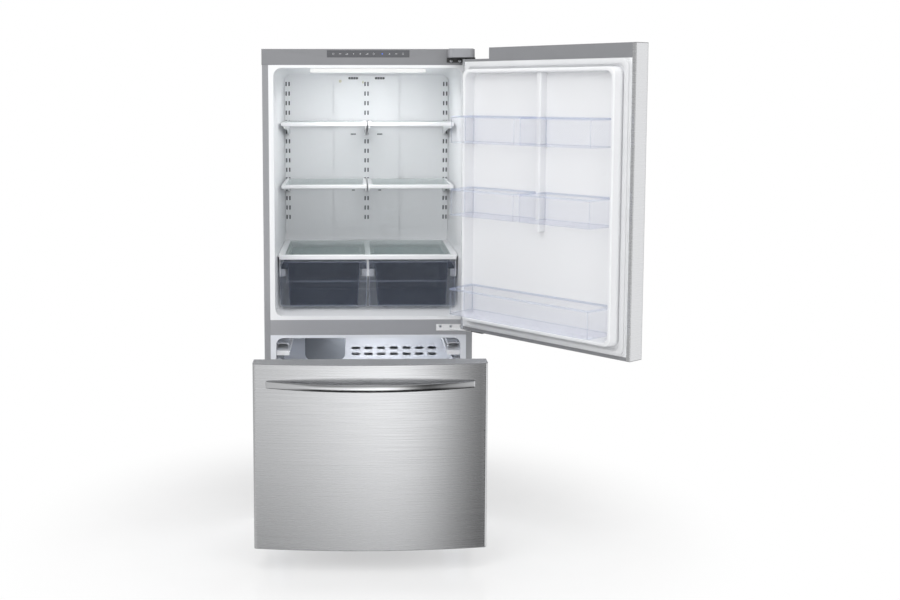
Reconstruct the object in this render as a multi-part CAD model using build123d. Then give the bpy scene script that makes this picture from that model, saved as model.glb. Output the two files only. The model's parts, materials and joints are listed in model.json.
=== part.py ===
from build123d import *
import math
import os

os.makedirs("parts", exist_ok=True)

# Bottom-freezer refrigerator, millimetres.
# +Z is up, +X is the viewer's right and +Y runs into the cabinet. The origin is on the floor,
# in the middle of the cabinet's width and depth. The fridge door stands open and the freezer
# drawer is pulled out, as stored; both are drawn closed and then moved to that place.
# A length named _D is a depth behind the cabinet's front plane.

# ---------------------------------------------------------------- cabinet
WIDTH = 757.0
DEPTH = 724.0
HEIGHT = 1700.0
BASE_Z = 30.0  # underside of the side panels
SKIN = 1.0  # painted steel wrapper
STILE = 22.0  # width of the wrapper's front return
LINER = 2.0  # moulded liner wall
BACK_SHEET = 1.0

TOP_CAP_H = 57.0  # grey moulding over the fridge opening
TOP_CAP_DEPTH = 24.0
TOP_CAP_ROUND = 3.0
CAP_PROUD = 1.5
PANEL_HALF = 147.0  # half length of the touch strip
PANEL_DROP = 5.0  # its upper edge below the cabinet's top
PANEL_TALL = 25.0
PANEL_THICK = 1.2
PANEL_FIT = 0.2
PANEL_SUNK = 0.1
MULLION_LOW = 667.0
MULLION_TALL = 56.0

# ---------------------------------------------------------------- insulation and compartments
SIDE_WALL = 40.0  # beside the fridge compartment, with wrapper and liner
FREEZER_WALL = 42.5
REAR_WALL = 84.0
FRIDGE_SILL = 13.0  # the fridge's floor over the cross rail
FRIDGE_ROOF = 67.0
FRIDGE_DRAFT = 3.5  # each side wall leans in by this much at the back
CEILING_DROP = 12.0
FRIDGE_R = 30.0
LINER_BACK_R = 8.0

FREEZER_LOW = 95.0
FREEZER_ROOF = 11.0  # the freezer's ceiling under the cross rail's lower edge
FREEZER_R = 25.0
FREEZER_LIP_LOW = 40.0  # the lip's lower edge over the side panels' underside
STEP_Z = 305.0  # shelf over the machine compartment, inside the freezer
STEP_WALL = 45.0  # insulation of the step
MACHINE_DEEP = 294.0
FLOOR_FOAM = 25.0

# ---------------------------------------------------------------- doors
SEAL_GAP = 10.0  # closed door's inner plane to the cabinet's front plane
SEAL_CLEAR = 0.3
DOOR_CORNER = 66.0  # thickness at the two upright edges
DOOR_BOW = 30.0  # how much further the middle stands out
DOOR_FRONT_R = 10.0
DOOR_REAR_R = 3.0
DOOR_SKIN = 1.0
DOOR_RETURN = 14.0  # skin folded round onto the inner plane
DOOR_LAP = 25.0  # the door's lower edge under the cross rail's upper edge
DOOR_TOP_CAP = 47.0
DOOR_BOTTOM_CAP = 13.0
DRAWER_LOW = 70.0
DRAWER_LAP = 15.0  # the drawer's upper edge over the cross rail's lower edge
DRAWER_TOP_CAP = 24.0
DRAWER_BOTTOM_CAP = 13.0
CAP_LIP = 2.0  # the cap's edge over the end of the skin
DOOR_OPEN = 130.0  # degrees, as stored
DRAWER_OUT = 480.0  # millimetres, as stored

HINGE_INSET = 14.0  # hinge axis inside the cabinet's right edge
HINGE_BEFORE = 42.0  # hinge axis in front of the cabinet's front plane
PIN_R = 5.0
PIN_CLEAR = 0.05
PIN_REACH = 10.0
NOTCH_LONG = 130.0  # cut in the door's top over the hinge
NOTCH_TALL = 38.0
STOP_X = (96.0, 40.0)  # both ends of the door stop, inside the door's right edge
STOP_DEEP = (46.0, 14.0)  # its faces before the door's inner plane
STOP_TALL = 7.0

SEAL_EDGE = 16.5  # gasket inside the door's edge
SEAL_BAND = 26.0
SEAL_BASE = 4.0
SEAL_BEAD = 17.0
SEAL_R = 22.0
CORNER_STEP = 4.0
SEAL_INSET = 3.0  # bead inside the foot's edge, above and below
DOOR_SEAL_GAPS = (8.0, 3.0)  # gasket's opening to the rim, below and above
DOOR_SEAL_LOW = 13.0  # gasket over the door's lower edge
DOOR_SEAL_HIGH = 47.0  # gasket under the door's upper edge
DRAWER_SEAL_LOW = 12.0
DRAWER_SEAL_HIGH = 3.0
DRAWER_SEAL_BANDS = (22.0, 27.0)  # gasket's width below and above

DIKE_EDGE = 44.5  # raised rim inside the door's edge
DIKE_WALL = 15.5
DIKE_HIGH = 45.0
DIKE_TAPER = 2.0
DIKE_LOW = 43.0  # rim over the door's lower edge
DIKE_DROP = 73.0  # rim under the door's upper edge
DIKE_R = 24.0
DIKE_ROUND = 4.0
BITE = 0.5  # raised forms into the sheet that carries them
RIB_X = (-17.0, 1.0)  # upright between the two columns of bins
RIB_BELOW = 39.0  # its lower end under the lowest pair of bins
RIB_STANDS = 30.0
RIB_ROUND = 5.0

# ---------------------------------------------------------------- door bins
BIN_WALL = 2.5
BIN_HEIGHT = 92.0
BIN_DEEP = 136.0
BIN_SLANT = 18.0
BIN_SLANT_D = 42.0  # where the slant begins, from the door's inner plane
BIN_CLEAR = 0.3
BIN_R = 10.0
BIN_RIM_TALL = 6.0
BIN_RIM_WALL = 4.5
BIN_LEDGE_IN = 6.0
BIN_LEDGE_ROOT = 3.0
LEDGE_SHORT = (6.0, 8.0)  # ledge behind the rib's crest and the rim's
BIN_LEDGE_THICK = 3.0
BIN_BOTTOM = 79.5  # lowest bin over the door's lower edge
BIN_DROP = 253.0  # upper pair under the rim's top
BIN_PITCH = 250.0

# ---------------------------------------------------------------- shelves
SHELF_SIDE = 11.5  # shelf to the liner's side wall
SHELF_GAP = 4.0
SHELF_FRONT_D = 242.0
SHELF_TRIM = 14.0
SHELF_RAIL = 14.0
SHELF_DROP = 200.0  # upper shelf under the ceiling
SHELF_SHARE = 0.48  # lower shelf under the upper one, as a share of the space over the crispers
SHELF_REAR_GAP = 1.0
SHELF_CORNER_R = 6.0
TRIM_ROUND = 3.0
GLASS = 4.0
GLASS_CLEAR = 0.3
GLASS_LEDGE = 5.0
ARM_THICK = 4.0
ARM_FRONT_DROP = 8.0
ARM_REAR_DROP = 62.0
ARM_HOLLOW = 9.0  # how far the arm's lower edge curves up from a straight line
HOOK_HIGH = 14.0
HOOK_SLOPE = 3.0
ARM_SETBACK = 4.0
ARM_REAR_GAP = 0.5
ARM_HEEL = 6.0  # arm's lower end under the hook

LADDER_EDGE = 5.5
LADDER_WIDE = 24.0
LADDER_LIFT = 43.0  # ladder over the crispers' cover
LADDER_DROP = 33.0  # ladder under the ceiling
LADDER_THICK = 6.0
SLOT_W = 6.0
SLOT_H = 17.5
SLOT_PITCH = 38.8
SLOT_FLOOR = 1.0  # left behind each slot
SLOT_COLUMN = 6.0  # half the distance between a rail's two columns
DUCT_HALF = 133.0
DUCT_THICK = 8.0
DUCT_R = 6.0
OUTLET_X = 54.0
OUTLET_DEEP = 6.0
OUTLETS = ((29.0, 41.0, 10.0), (256.0, 22.0, 6.0), (485.0, 12.0, 5.0))  # drop, length, height

LAMP_HALF = 210.0
LAMP_D = (70.0, 240.0)
LAMP_THICK = 9.0
LAMP_BULGE = 22.0
LAMP_FIT = 0.3

# ---------------------------------------------------------------- crispers
COVER_SIDE = 7.5
COVER_FRONT_D = 140.0
COVER_RISE = 206.0  # cover's top over the fridge's floor
COVER_THICK = 17.0
COVER_RAIL = 20.0
COVER_SPINE = 10.0  # half width of the cover's middle bar
COVER_TONGUE = 4.0  # thickness of the cover's edge, and of the liner's ledge under it
COVER_REAR_R = 12.0
TONGUE_INSET = (20.0, 30.0)  # at the front and the rear of the cover
CRISPER_SIDE = 4.5  # tub's front to the cover's edge
CRISPER_SPACE = 4.5  # tub's front to the middle
CRISPER_BEHIND = 2.0  # front plate behind the cover's front edge
CRISPER_BACK = 40.0  # tub to the rear wall
CRISPER_LIFT = 14.0
CRISPER_DROP = 25.0  # tub under the cover's top
CRISPER_WALL = 2.5
CRISPER_INSET = 25.0  # tub's side behind the edge of its front
CRISPER_DRAFT = 8.0
CRISPER_R = 14.0
CRISPER_FRONT = 3.5
CRISPER_FRONT_R = 8.0
CRISPER_BEAD = 3.0  # raised lines round the front and under its grip
CRISPER_BEAD_OUT = 2.0
CRISPER_GRIP = 73.0  # grip line under the tub's top
RUNNER_DROP = 53.0  # underside of the tub's runner flange under the cover's top
RUNNER_THICK = 4.0
RAIL_WEB = 2.5
RAIL_FOOT = 20.0
RAIL_BEHIND = 12.0  # rail's front end behind the cover's front edge
RAIL_END = 10.0
RAIL_TAB = (12.0, 24.0)  # length and height of the block at the rail's front end
RUN_CLEAR = 0.3
FLANGE_INSET = (2.0, 12.0)

# ---------------------------------------------------------------- freezer inside
COIL_SPACE = 116.0  # between the evaporator's cover and the rear wall
EVAP_COVER_THICK = 3.0
EVAP_FLANGE = 14.0
VENT_LEFT = -63.0
VENT_MARGIN = 55.0  # last vent to the side wall
VENT_LONG = 34.0
VENT_HIGH = 11.0
VENT_PER_ROW = 7
VENT_DROPS = (144.0, 169.0)
EVAP_FIN_MARGIN = 86.0
EVAP_FIN_BACK = 20.0
EVAP_FIN_DEEP = 60.0
EVAP_FIN_SPINE = 25.0
EVAP_FIN_Z = (345.0, 455.0)
EVAP_FINS = 26
FIN_SHEET = 3.0
COIL_TUBE_R = 5.0
COIL_RUNS = 4
COIL_PITCH = 28.0
COIL_OVER = 30.0
COIL_START = 13.0
TUBE_LEAD = 20.0
COIL_FOOT_HALF = 40.0
COIL_FOOT_Z = (380.0, 420.0)
ICE_X = (-241.0, -87.0)
ICE_TALL = 135.7
ICE_FIT = 0.3
ICE_FRONT_D = 250.0
ICE_WALL = 2.5
ICE_R = 26.0
ICE_BASE_INSET = 6.0
ICE_BASE_SETBACK = 20.0
ICE_TRAY_INSET = 14.0
ICE_TRAY_SETBACK = (30.0, 12.0)
ICE_TRAY_WALL = 4.0
ICE_TRAY_LIFT = 26.0
LEDGE_WIDE = 42.0
LEDGE_DROP = 30.0
LEDGE_TALL = 13.0
LEDGE_SHEET = 3.0
LEDGE_FRONT_D = 60.0
LEDGE_BACK = 24.0  # ledges to the evaporator's cover
SLIDE_COVER_WIDE = 47.0
SLIDE_COVER_LIFT = 25.0
SLIDE_COVER_TALL = 16.0
SLIDE_FRONT_D = 12.0
SLIDE_BACK = 12.0
SLIDE_DROP = 91.0
SLIDE_HALF = 20.0
SLIDE_SHEET = 1.5
SLIDE_PLAY = 1.5  # sideways, between two members
SLIDE_WIDE = 14.0
DRAWER_ARM_IN = 40.0
DRAWER_ARM_SHEET = 2.0
ARM_REST = 14.0
ARM_PAD = 40.0
ARM_DROP = 4.0  # arm's upper face under the inner member's
ARM_PAST = 20.0
BASKET_IN = 14.0
BASKET_FRONT_D = 16.0
BASKET_BACK = 18.0
BASKET_LIFT = 17.0
BASKET_DROP = 95.0  # basket's rest under the slides
BASKET_WALL = 2.5
BASKET_RIM = 4.0
BASKET_R = 18.0
BASKET_DRAFT = 12.0
TRAY_IN = 11.0
TRAY_D = (18.0, 232.0)
TRAY_LOW = 73.0  # tray's floor under the slides
TRAY_HIGH = 19.0  # tray's rim over the slides
TRAY_WALL = 2.5
TRAY_R = 14.0
TRAY_DRAFT = 6.0
TRAY_FLANGE = 3.0
TRAY_FLANGE_INSET = 16.0

# ---------------------------------------------------------------- handles
HANDLE_EDGE = 43.5  # handle's end to the drawer's edge
HANDLE_DROP = 66.0
HANDLE_TALL = 23.0
HANDLE_THICK = 12.0
HANDLE_STAND = 43.0
HANDLE_R = 5.0
HANDLE_END = 14.0
HANDLE_SINK = 2.0
DOOR_HANDLE_TIP = 14.0
DOOR_HANDLE_EDGE = 62.5
DOOR_HANDLE_LIFT = 162.0
DOOR_HANDLE_DROP = 170.0
POST_HALF = 12.0

# ---------------------------------------------------------------- fans
FAN_HUB_R = 15.0
FAN_HUB_LONG = 16.0
FAN_HUB_ROUND = 5.0
FAN_BLADES = 5
FAN_TIP_R = 55.0
FAN_PITCH = 24.0  # degrees, at the tip
FAN_TWIST = 20.0  # degrees steeper at the hub
FAN_BLADE_THICK = 2.0
FAN_CAMBER = 3.0
FAN_CHORD = 38.0
FAN_ROOT_CHORD = 15.0
FAN_ROOT_SINK = 3.0
FAN_GAP = 2.5
FAN_SHAFT_R = 3.0
FAN_SHAFT_LONG = 10.0
FAN_MOTOR_R = 26.0
FAN_MOTOR_LONG = 30.0
FAN_MOTOR_ROUND = 4.0
FAN_ARM_TALL = 8.0
FAN_ARM_LAP = 6.0
FREEZER_FAN_X = 120.0
FREEZER_FAN_DROP = 84.0
FREEZER_FAN_BACK = 88.0
FREEZER_FAN_ARM = 20.0
MACHINE_FAN_X = 40.0
MACHINE_FAN_Z = 140.0
MACHINE_FAN_BACK = 114.0
MACHINE_FAN_ARM = 18.0
FAN_BRACKET = 2.0
FAN_BRACKET_HALF = 30.0
FAN_BRACKET_RISE = 22.0

# ---------------------------------------------------------------- base and machine compartment
PAN_THICK = 3.0
BASE_FRONT_D = 24.0
BASE_BACK = 4.0
FLANGE_FRONT_D = 2.0
ROLLER_R = 20.0
ROLLER_WIDE = 16.0
ROLLER_ROUND = 2.0
ROLLER_IN = 48.5
ROLLER_BACK = 74.0
ROLLER_PLAY = 1.0
ROLLER_WELL = 3.0
EAR_THICK = 3.0
EAR_HALF = 14.0
EAR_DROP = 8.0
AXLE_R = 3.0
FOOT_R = 20.0
FOOT_HIGH = 9.0
FOOT_CHAMFER = 3.0
FOOT_STEM_R = 6.0
FOOT_D = 70.0
GRILLE_D = (18.0, 22.0)
GRILLE_LOW = 12.0  # grille under the side panels' underside
GRILLE_SLOTS = 26
GRILLE_MARGIN = 60.0
GRILLE_SLOT = (2.0, 26.0)  # slot's ends under and over the side panels' underside
COMPRESSOR_IN = 146.0
COMPRESSOR_BACK = 114.0
COMPRESSOR_R = 78.0
COMPRESSOR_HIGH = 150.0
COMPRESSOR_SEAM = 4.0
COMPRESSOR_FEET = (8.0, 14.0)  # base plate's two faces over the floor pan
COMPRESSOR_SHOULDER = 30.0
COMPRESSOR_PLATE = (18.0, 62.0)
GROMMET_R = 10.0
GROMMET_IN = 12.0
CONDENSER_IN = 124.0
CONDENSER_BACK = 124.0
CONDENSER_LONG = 200.0
CONDENSER_TUBE_R = 4.0
CONDENSER_RUNS = 6
CONDENSER_PITCH = 26.0
CONDENSER_LIFT = 20.0
STRAP_X = (-65.0, 75.0)
STRAP_WIDE = 14.0
STRAP_HALF = 3.0
STRAP_OVER = 16.0
DRAIN_X = (-112.0, 94.0)  # either side of the condenser's middle
DRAIN_D = (84.0, 12.0)  # before the cabinet's back
DRAIN_TALL = 34.0
DRAIN_WALL = 2.5
DRAIN_R = 8.0
DRAIN_DRAFT = 3.0
REAR_COVER = 3.0
LOUVRE_ROWS = 6
LOUVRE_COLUMNS = 4
LOUVRE_LOW = 60.0
LOUVRE_PITCH = 22.0
LOUVRE_LONG = 110.0
LOUVRE_TALL = 8.0
LOUVRE_MARGIN = 36.0
LOUVRE_SHIFT = -10.0
GLAND_IN = 28.0
GLAND_LIFT = 32.0
GLAND_R = 11.0
GLAND_BORE_R = 4.5
GLAND_LONG = 12.0

# ---------------------------------------------------------------- hinges
HINGE_PLATE = 3.0
BRACKET_LONG = 131.5
BRACKET_TALL = 23.5
BRACKET_LAP = 15.5  # bracket's lower edge over the cross rail's lower edge
BRACKET_ARM_IN = 50.0
ARM_LIFT = 6.0  # arm over the drawer's upper edge
BRACKET_SCREWS = (15.0, 53.0, 91.0)  # along the plate
BRACKET_SCREW_LIFT = 16.0  # over the plate's lower edge
HINGE_NOSE_RUN = 8.0  # where the arm's slope meets the plate
TOP_PLATE_LONG = 98.5
TOP_PLATE_DROP = 36.0
TOP_PLATE_THICK = 5.0
TOP_TAB_TALL = 12.5
TOP_PIN_LONG = 8.0
TOP_COVER_IN = 3.0
TOP_COVER_EDGE = 6.0
TOP_COVER_AHEAD = 58.0
TOP_COVER_R = 14.0
TOP_COVER_ROUND = 3.0
SCREW_HEAD_R = 5.5
SCREW_HEAD_HIGH = 2.5
TOP_SCREWS = (16.0, 46.0)

# ---------------------------------------------------------------- worked out: cabinet
HALF = WIDTH / 2
FRONT = -DEPTH / 2
BACK = DEPTH / 2
LIP_X = HALF - STILE
PAN_Z = BASE_Z + PAN_THICK
BASE_TOP = FREEZER_LOW - FLOOR_FOAM
MULLION_HIGH = MULLION_LOW + MULLION_TALL
MACHINE_TOP = STEP_Z - LINER - STEP_WALL
FRIDGE_HALF = HALF - SIDE_WALL
FRIDGE_LOW = MULLION_HIGH + FRIDGE_SILL
FRIDGE_HIGH = HEIGHT - FRIDGE_ROOF
FRIDGE_DEEP = DEPTH - REAR_WALL
FREEZER_HALF = HALF - FREEZER_WALL
FREEZER_HIGH = MULLION_LOW - FREEZER_ROOF
FREEZER_DEEP = DEPTH - REAR_WALL
STEP_DEEP = DEPTH - MACHINE_DEEP
MACHINE_HALF = FREEZER_HALF + LINER

# ---------------------------------------------------------------- worked out: doors
INNER = FRONT - SEAL_GAP
HINGE_X = HALF - HINGE_INSET
HINGE_Y = FRONT - HINGE_BEFORE
BOW_R = (HALF**2 + DOOR_BOW**2) / (2 * DOOR_BOW)
BOW_CENTRE = INNER - DOOR_CORNER - DOOR_BOW + BOW_R
RETURN_X = HALF - DOOR_RETURN
DOOR_LOW = MULLION_HIGH - DOOR_LAP
DOOR_HIGH = HEIGHT
DRAWER_HIGH = MULLION_LOW + DRAWER_LAP
SEAL_HALF = HALF - SEAL_EDGE
DIKE_HALF = HALF - DIKE_EDGE
DIKE_LOW_Z = DOOR_LOW + DIKE_LOW
DIKE_TOP_Z = DOOR_HIGH - DIKE_DROP
BIN_BOTTOM_Z = DOOR_LOW + BIN_BOTTOM
BIN_PAIR_Z = (DIKE_TOP_Z - BIN_DROP - BIN_PITCH, DIKE_TOP_Z - BIN_DROP)
RIB_LOW = BIN_PAIR_Z[0] - RIB_BELOW
HANDLE_HALF = HALF - HANDLE_EDGE
HANDLE_Z = DRAWER_HIGH - HANDLE_DROP
DOOR_HANDLE_X = -HALF + DOOR_HANDLE_EDGE
DOOR_HANDLE_Z = (DOOR_LOW + DOOR_HANDLE_LIFT, DOOR_HIGH - DOOR_HANDLE_DROP)
BRACKET_X = HALF - BRACKET_LONG
BRACKET_LOW = MULLION_LOW + BRACKET_LAP
ARM_Z = DRAWER_HIGH + ARM_LIFT
TOP_PLATE_X = HALF - TOP_PLATE_LONG
TOP_PLATE_Z = HEIGHT - TOP_PLATE_DROP
TOP_TAB_Z = TOP_PLATE_Z - TOP_TAB_TALL

# ---------------------------------------------------------------- worked out: fittings
FRIDGE_SIZES = (FRIDGE_HALF, FRIDGE_LOW, FRIDGE_HIGH, FRIDGE_DEEP, FRIDGE_DRAFT, CEILING_DROP, FRIDGE_R)
SHELF_HALF = FRIDGE_HALF - SHELF_SIDE
COVER_HALF = FRIDGE_HALF - COVER_SIDE
COVER_TOP = FRIDGE_LOW + COVER_RISE
UPPER_SHELF_Z = FRIDGE_HIGH - SHELF_DROP
SHELF_TOP_Z = (UPPER_SHELF_Z, UPPER_SHELF_Z - SHELF_SHARE * (UPPER_SHELF_Z - COVER_TOP))
COVER_D = (COVER_FRONT_D, FRIDGE_DEEP - RUN_CLEAR)
LADDER_X = FRIDGE_HALF - LADDER_EDGE - LADDER_WIDE / 2
LADDER_Z = (COVER_TOP + LADDER_LIFT, FRIDGE_HIGH - LADDER_DROP)
CRISPER_X = (CRISPER_SPACE, COVER_HALF - CRISPER_SIDE)
CRISPER_D = (COVER_FRONT_D + CRISPER_BEHIND, FRIDGE_DEEP - CRISPER_BACK)
CRISPER_Z = (FRIDGE_LOW + CRISPER_LIFT, COVER_TOP - CRISPER_DROP)
RUNNER_Z = COVER_TOP - RUNNER_DROP
RAIL_START = COVER_FRONT_D + RAIL_BEHIND
EVAP_COVER_D = FREEZER_DEEP - COIL_SPACE
ICE_D = (ICE_FRONT_D, EVAP_COVER_D - LEDGE_BACK)
ICE_Z = (FREEZER_HIGH - ICE_FIT - ICE_TALL, FREEZER_HIGH - ICE_FIT)
LEDGE_D = (LEDGE_FRONT_D, EVAP_COVER_D - LEDGE_BACK)
SLIDE_D = (SLIDE_FRONT_D, EVAP_COVER_D - SLIDE_BACK)
SLIDE_Z = FREEZER_HIGH - SLIDE_DROP
DRAWER_ARM_X = FREEZER_HALF - DRAWER_ARM_IN
ARM_TOP = SLIDE_Z + SLIDE_HALF - 2 * (SLIDE_SHEET + RUN_CLEAR) - ARM_DROP
BASKET_HALF = DRAWER_ARM_X - BASKET_IN
BASKET_D = (BASKET_FRONT_D, STEP_DEEP - BASKET_BACK)
BASKET_Z = (FREEZER_LOW + BASKET_LIFT, SLIDE_Z - BASKET_DROP)
TRAY_HALF = DRAWER_ARM_X - TRAY_IN
TRAY_Z = (SLIDE_Z - TRAY_LOW, SLIDE_Z + TRAY_HIGH)
FAN_BEHIND = FAN_HUB_LONG / 2 + FAN_GAP
FREEZER_FAN_D = FREEZER_DEEP - FREEZER_FAN_BACK
FREEZER_FAN_Z = FREEZER_HIGH - FREEZER_FAN_DROP
MACHINE_FAN_D = DEPTH - MACHINE_FAN_BACK
ROLLER_X = HALF - ROLLER_IN
ROLLER_D = DEPTH - ROLLER_BACK
COMPRESSOR_X = -FREEZER_HALF + COMPRESSOR_IN
COMPRESSOR_D = DEPTH - COMPRESSOR_BACK
CONDENSER_X = FREEZER_HALF - CONDENSER_IN
CONDENSER_D = DEPTH - CONDENSER_BACK
GLAND_X = -MACHINE_HALF + GLAND_IN
GLAND_Z = BASE_Z + GLAND_LIFT


# ---------------------------------------------------------------- helpers
def at(depth):
    """Y of a place this far behind the cabinet's front plane."""
    return FRONT + depth


def block(x, y, z):
    """Box between three pairs of limits."""
    spans = (x, y, z)
    middle = [(low + high) / 2 for low, high in spans]
    size = [high - low for low, high in spans]
    return Pos(*middle) * Box(*size)


def post(radius, height):
    """Upright cylinder that stands on z = 0."""
    return Cylinder(radius, height, align=(Align.CENTER, Align.CENTER, Align.MIN))


def outline(points):
    """Face inside a closed line through the points."""
    return make_face(Polyline(*points, close=True))


def prism_x(points, low, high):
    """Outline of (y, z) points, extruded from x = low to x = high."""
    return extrude(Plane.YZ.offset(low) * outline(points), high - low)


def prism_z(points, low, high):
    """Outline of (x, y) points, extruded from z = low to z = high."""
    return extrude(Pos(0, 0, low) * outline(points), high - low)


def pane(x, z, radius, y):
    """Rounded rectangle that stands across the depth at y; its normal points out of the cabinet."""
    plane = Plane(((x[0] + x[1]) / 2, y, (z[0] + z[1]) / 2), x_dir=(1, 0, 0), z_dir=(0, -1, 0))
    return plane * RectangleRounded(x[1] - x[0], z[1] - z[0], radius)


def slab(x, z, radius, y):
    """Rounded rectangle across the depth, extruded between two values of y."""
    return extrude(pane(x, z, radius, y[0]), y[0] - y[1])


def slot(x, z, y):
    """Round-ended level slot about x and z, given as (middle, length)."""
    tall = z[1]
    return slab(around(*x), around(*z), tall / 2 - 0.01, y)


def around(middle, length):
    """Limits of a length about its middle."""
    return middle - length / 2, middle + length / 2


def mirrored(shape):
    """The same shape on the other side of the cabinet."""
    return mirror(shape, about=Plane.YZ)


def both(shape):
    """A shape and its mirror image."""
    return shape, mirrored(shape)


def save(node, *shapes):
    """Write the shapes' solids as one node."""
    solids = [solid for shape in shapes for solid in shape.solids()]
    whole = solids[0] if len(solids) == 1 else Compound(children=solids)
    export_step(whole, f"parts/{node}.step")


def save_door(node, *shapes):
    """Save pieces of the fridge door, drawn closed, where the open door holds them."""
    axis = Axis((HINGE_X, HINGE_Y, 0), (0, 0, 1))
    save(node, *[shape.rotate(axis, DOOR_OPEN) for shape in shapes])


def save_drawer(node, *shapes, share=1.0):
    """Save pieces of the freezer drawer, drawn closed, where the pulled-out drawer holds them."""
    save(node, *[Pos(0, -DRAWER_OUT * share, 0) * shape for shape in shapes])


# ---------------------------------------------------------------- cabinet shell
def outer_cabinet():
    """Steel wrapper folded over both sides and the top, with narrow front returns."""
    head_z = HEIGHT - TOP_CAP_H
    outside = block((-HALF, HALF), (FRONT, BACK), (BASE_Z, HEIGHT))
    inside = block((-HALF + SKIN, HALF - SKIN), (FRONT - 1, BACK + 1), (BASE_Z - 1, HEIGHT - SKIN))
    stile = block((LIP_X, HALF - SKIN), (FRONT, FRONT + SKIN), (BASE_Z, head_z))
    head = block((-HALF - 1, HALF + 1), (FRONT - 1, at(TOP_CAP_DEPTH)), (head_z, HEIGHT + 1))
    return outside - inside + stile + mirrored(stile) - head


def top_front_cap():
    """Moulding across the cabinet's top edge, with a shallow bed for the touch strip."""
    wide = HALF + CAP_PROUD
    outside = block((-wide, wide), (FRONT, at(TOP_CAP_DEPTH)), (HEIGHT - TOP_CAP_H, HEIGHT))
    front_edge = outside.edges().filter_by(Axis.X).group_by(Axis.Z)[-1].group_by(Axis.Y)[0]
    high = HEIGHT - PANEL_DROP
    bed = block((-PANEL_HALF, PANEL_HALF), (FRONT - 1, FRONT + PANEL_THICK), (high - PANEL_TALL, high))
    return fillet(front_edge, TOP_CAP_ROUND) - bed


def control_panel():
    """Touch strip let into the top moulding."""
    half = PANEL_HALF - PANEL_FIT
    high = HEIGHT - PANEL_DROP - PANEL_FIT
    low = HEIGHT - PANEL_DROP - PANEL_TALL + PANEL_FIT
    return block((-half, half), (FRONT + PANEL_SUNK, FRONT + PANEL_THICK), (low, high))


def tapered(half, low, high, deep, draft, drop, radius, grow):
    """Rounded box that narrows towards the back, grown on all sides by grow."""
    wide = half + grow
    front = pane((-wide, wide), (low - grow, high + grow), radius + grow, FRONT)
    rear_x = (-wide + draft, wide - draft)
    rear = pane(rear_x, (low - grow, high + grow - drop), radius + grow, at(deep + grow))
    return loft([front, rear])


def fridge_cavity():
    """The fridge compartment's inside, rounded round its rear wall."""
    cavity = tapered(*FRIDGE_SIZES, 0.0)
    back = cavity.faces().sort_by(Axis.Y)[-1]
    return fillet(back.edges(), LINER_BACK_R)


def fridge_liner():
    """White moulded tub with a lip round its mouth and ledges for the crispers' cover."""
    lip = block((-LIP_X, LIP_X), (FRONT, FRONT + LINER), (MULLION_HIGH, HEIGHT - TOP_CAP_H))
    top = COVER_TOP - COVER_TONGUE - RUN_CLEAR
    ledge = block((COVER_HALF + 1, FRIDGE_HALF + 1), tongue_y(), (top - COVER_TONGUE, top))
    return tapered(*FRIDGE_SIZES, LINER) + lip - fridge_cavity() + ledge + mirrored(ledge)


def tongue_y():
    """Where the crisper cover's side edges rest on the liner's ledges."""
    return at(COVER_D[0] + TONGUE_INSET[0]), at(COVER_D[1] - TONGUE_INSET[1])


def freezer_profile(grow):
    """Side view of the freezer's inside, stepped over the machine compartment."""
    riser = at(STEP_DEEP) + grow
    rear = at(FREEZER_DEEP) + grow
    floor = FREEZER_LOW - grow
    roof = FREEZER_HIGH + grow
    shelf = STEP_Z - grow
    return [(FRONT, floor), (riser, floor), (riser, shelf), (rear, shelf), (rear, roof), (FRONT, roof)]


def freezer_block(grow):
    """The freezer's inside, or its liner's outside, with rounded long edges."""
    half = FREEZER_HALF + grow
    body = prism_x(freezer_profile(grow), -half, half)
    mouth_z = (FREEZER_LOW - grow, FREEZER_HIGH + grow)
    return body & slab((-half, half), mouth_z, FREEZER_R + grow, (FRONT, BACK))


def freezer_liner():
    """Stepped moulded tub with a lip round its mouth."""
    lip = block((-LIP_X, LIP_X), (FRONT, FRONT + LINER), (BASE_Z + FREEZER_LIP_LOW, MULLION_LOW))
    return freezer_block(LINER) + lip - freezer_block(0.0)


def side_foam():
    """Insulation between the wrapper and the liners, up one side."""
    inner = max(FRIDGE_HALF, FREEZER_HALF) + LINER
    return block((inner, HALF - SKIN), (FRONT + LINER, BACK - BACK_SHEET), (BASE_TOP, HEIGHT - TOP_CAP_H))


def cross_foam():
    """Insulation over the fridge, between the compartments and under the freezer."""
    half = MACHINE_HALF
    head_z = HEIGHT - TOP_CAP_H
    front = at(TOP_CAP_DEPTH)
    behind = at(FRIDGE_DEEP) + LINER
    ceiling = FRIDGE_HIGH + LINER
    roof = [(front, ceiling), (behind, ceiling - CEILING_DROP), (behind, head_z), (front, head_z)]
    wide = HALF - SKIN
    top = prism_x(roof, -half, half)
    top += block((-wide, wide), (front, BACK - BACK_SHEET), (head_z, HEIGHT - SKIN))
    middle = block((-half, half), (front, behind), (FREEZER_HIGH + LINER, FRIDGE_LOW - LINER))
    floor = block((-half, half), (FRONT + LINER, at(STEP_DEEP)), (BASE_TOP, FREEZER_LOW - LINER))
    return top, middle, floor


def back_foam():
    """Rear insulation, with the step that roofs the machine compartment."""
    rear = BACK - BACK_SHEET
    behind = at(FRIDGE_DEEP) + LINER
    riser = at(STEP_DEEP) + LINER
    head_z = HEIGHT - TOP_CAP_H
    points = [
        (riser, PAN_Z),
        (riser + STEP_WALL, PAN_Z),
        (riser + STEP_WALL, MACHINE_TOP),
        (rear, MACHINE_TOP),
        (rear, head_z),
        (behind, head_z),
        (behind, STEP_Z - LINER),
        (riser, STEP_Z - LINER),
    ]
    return prism_x(points, -MACHINE_HALF, MACHINE_HALF)


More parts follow.
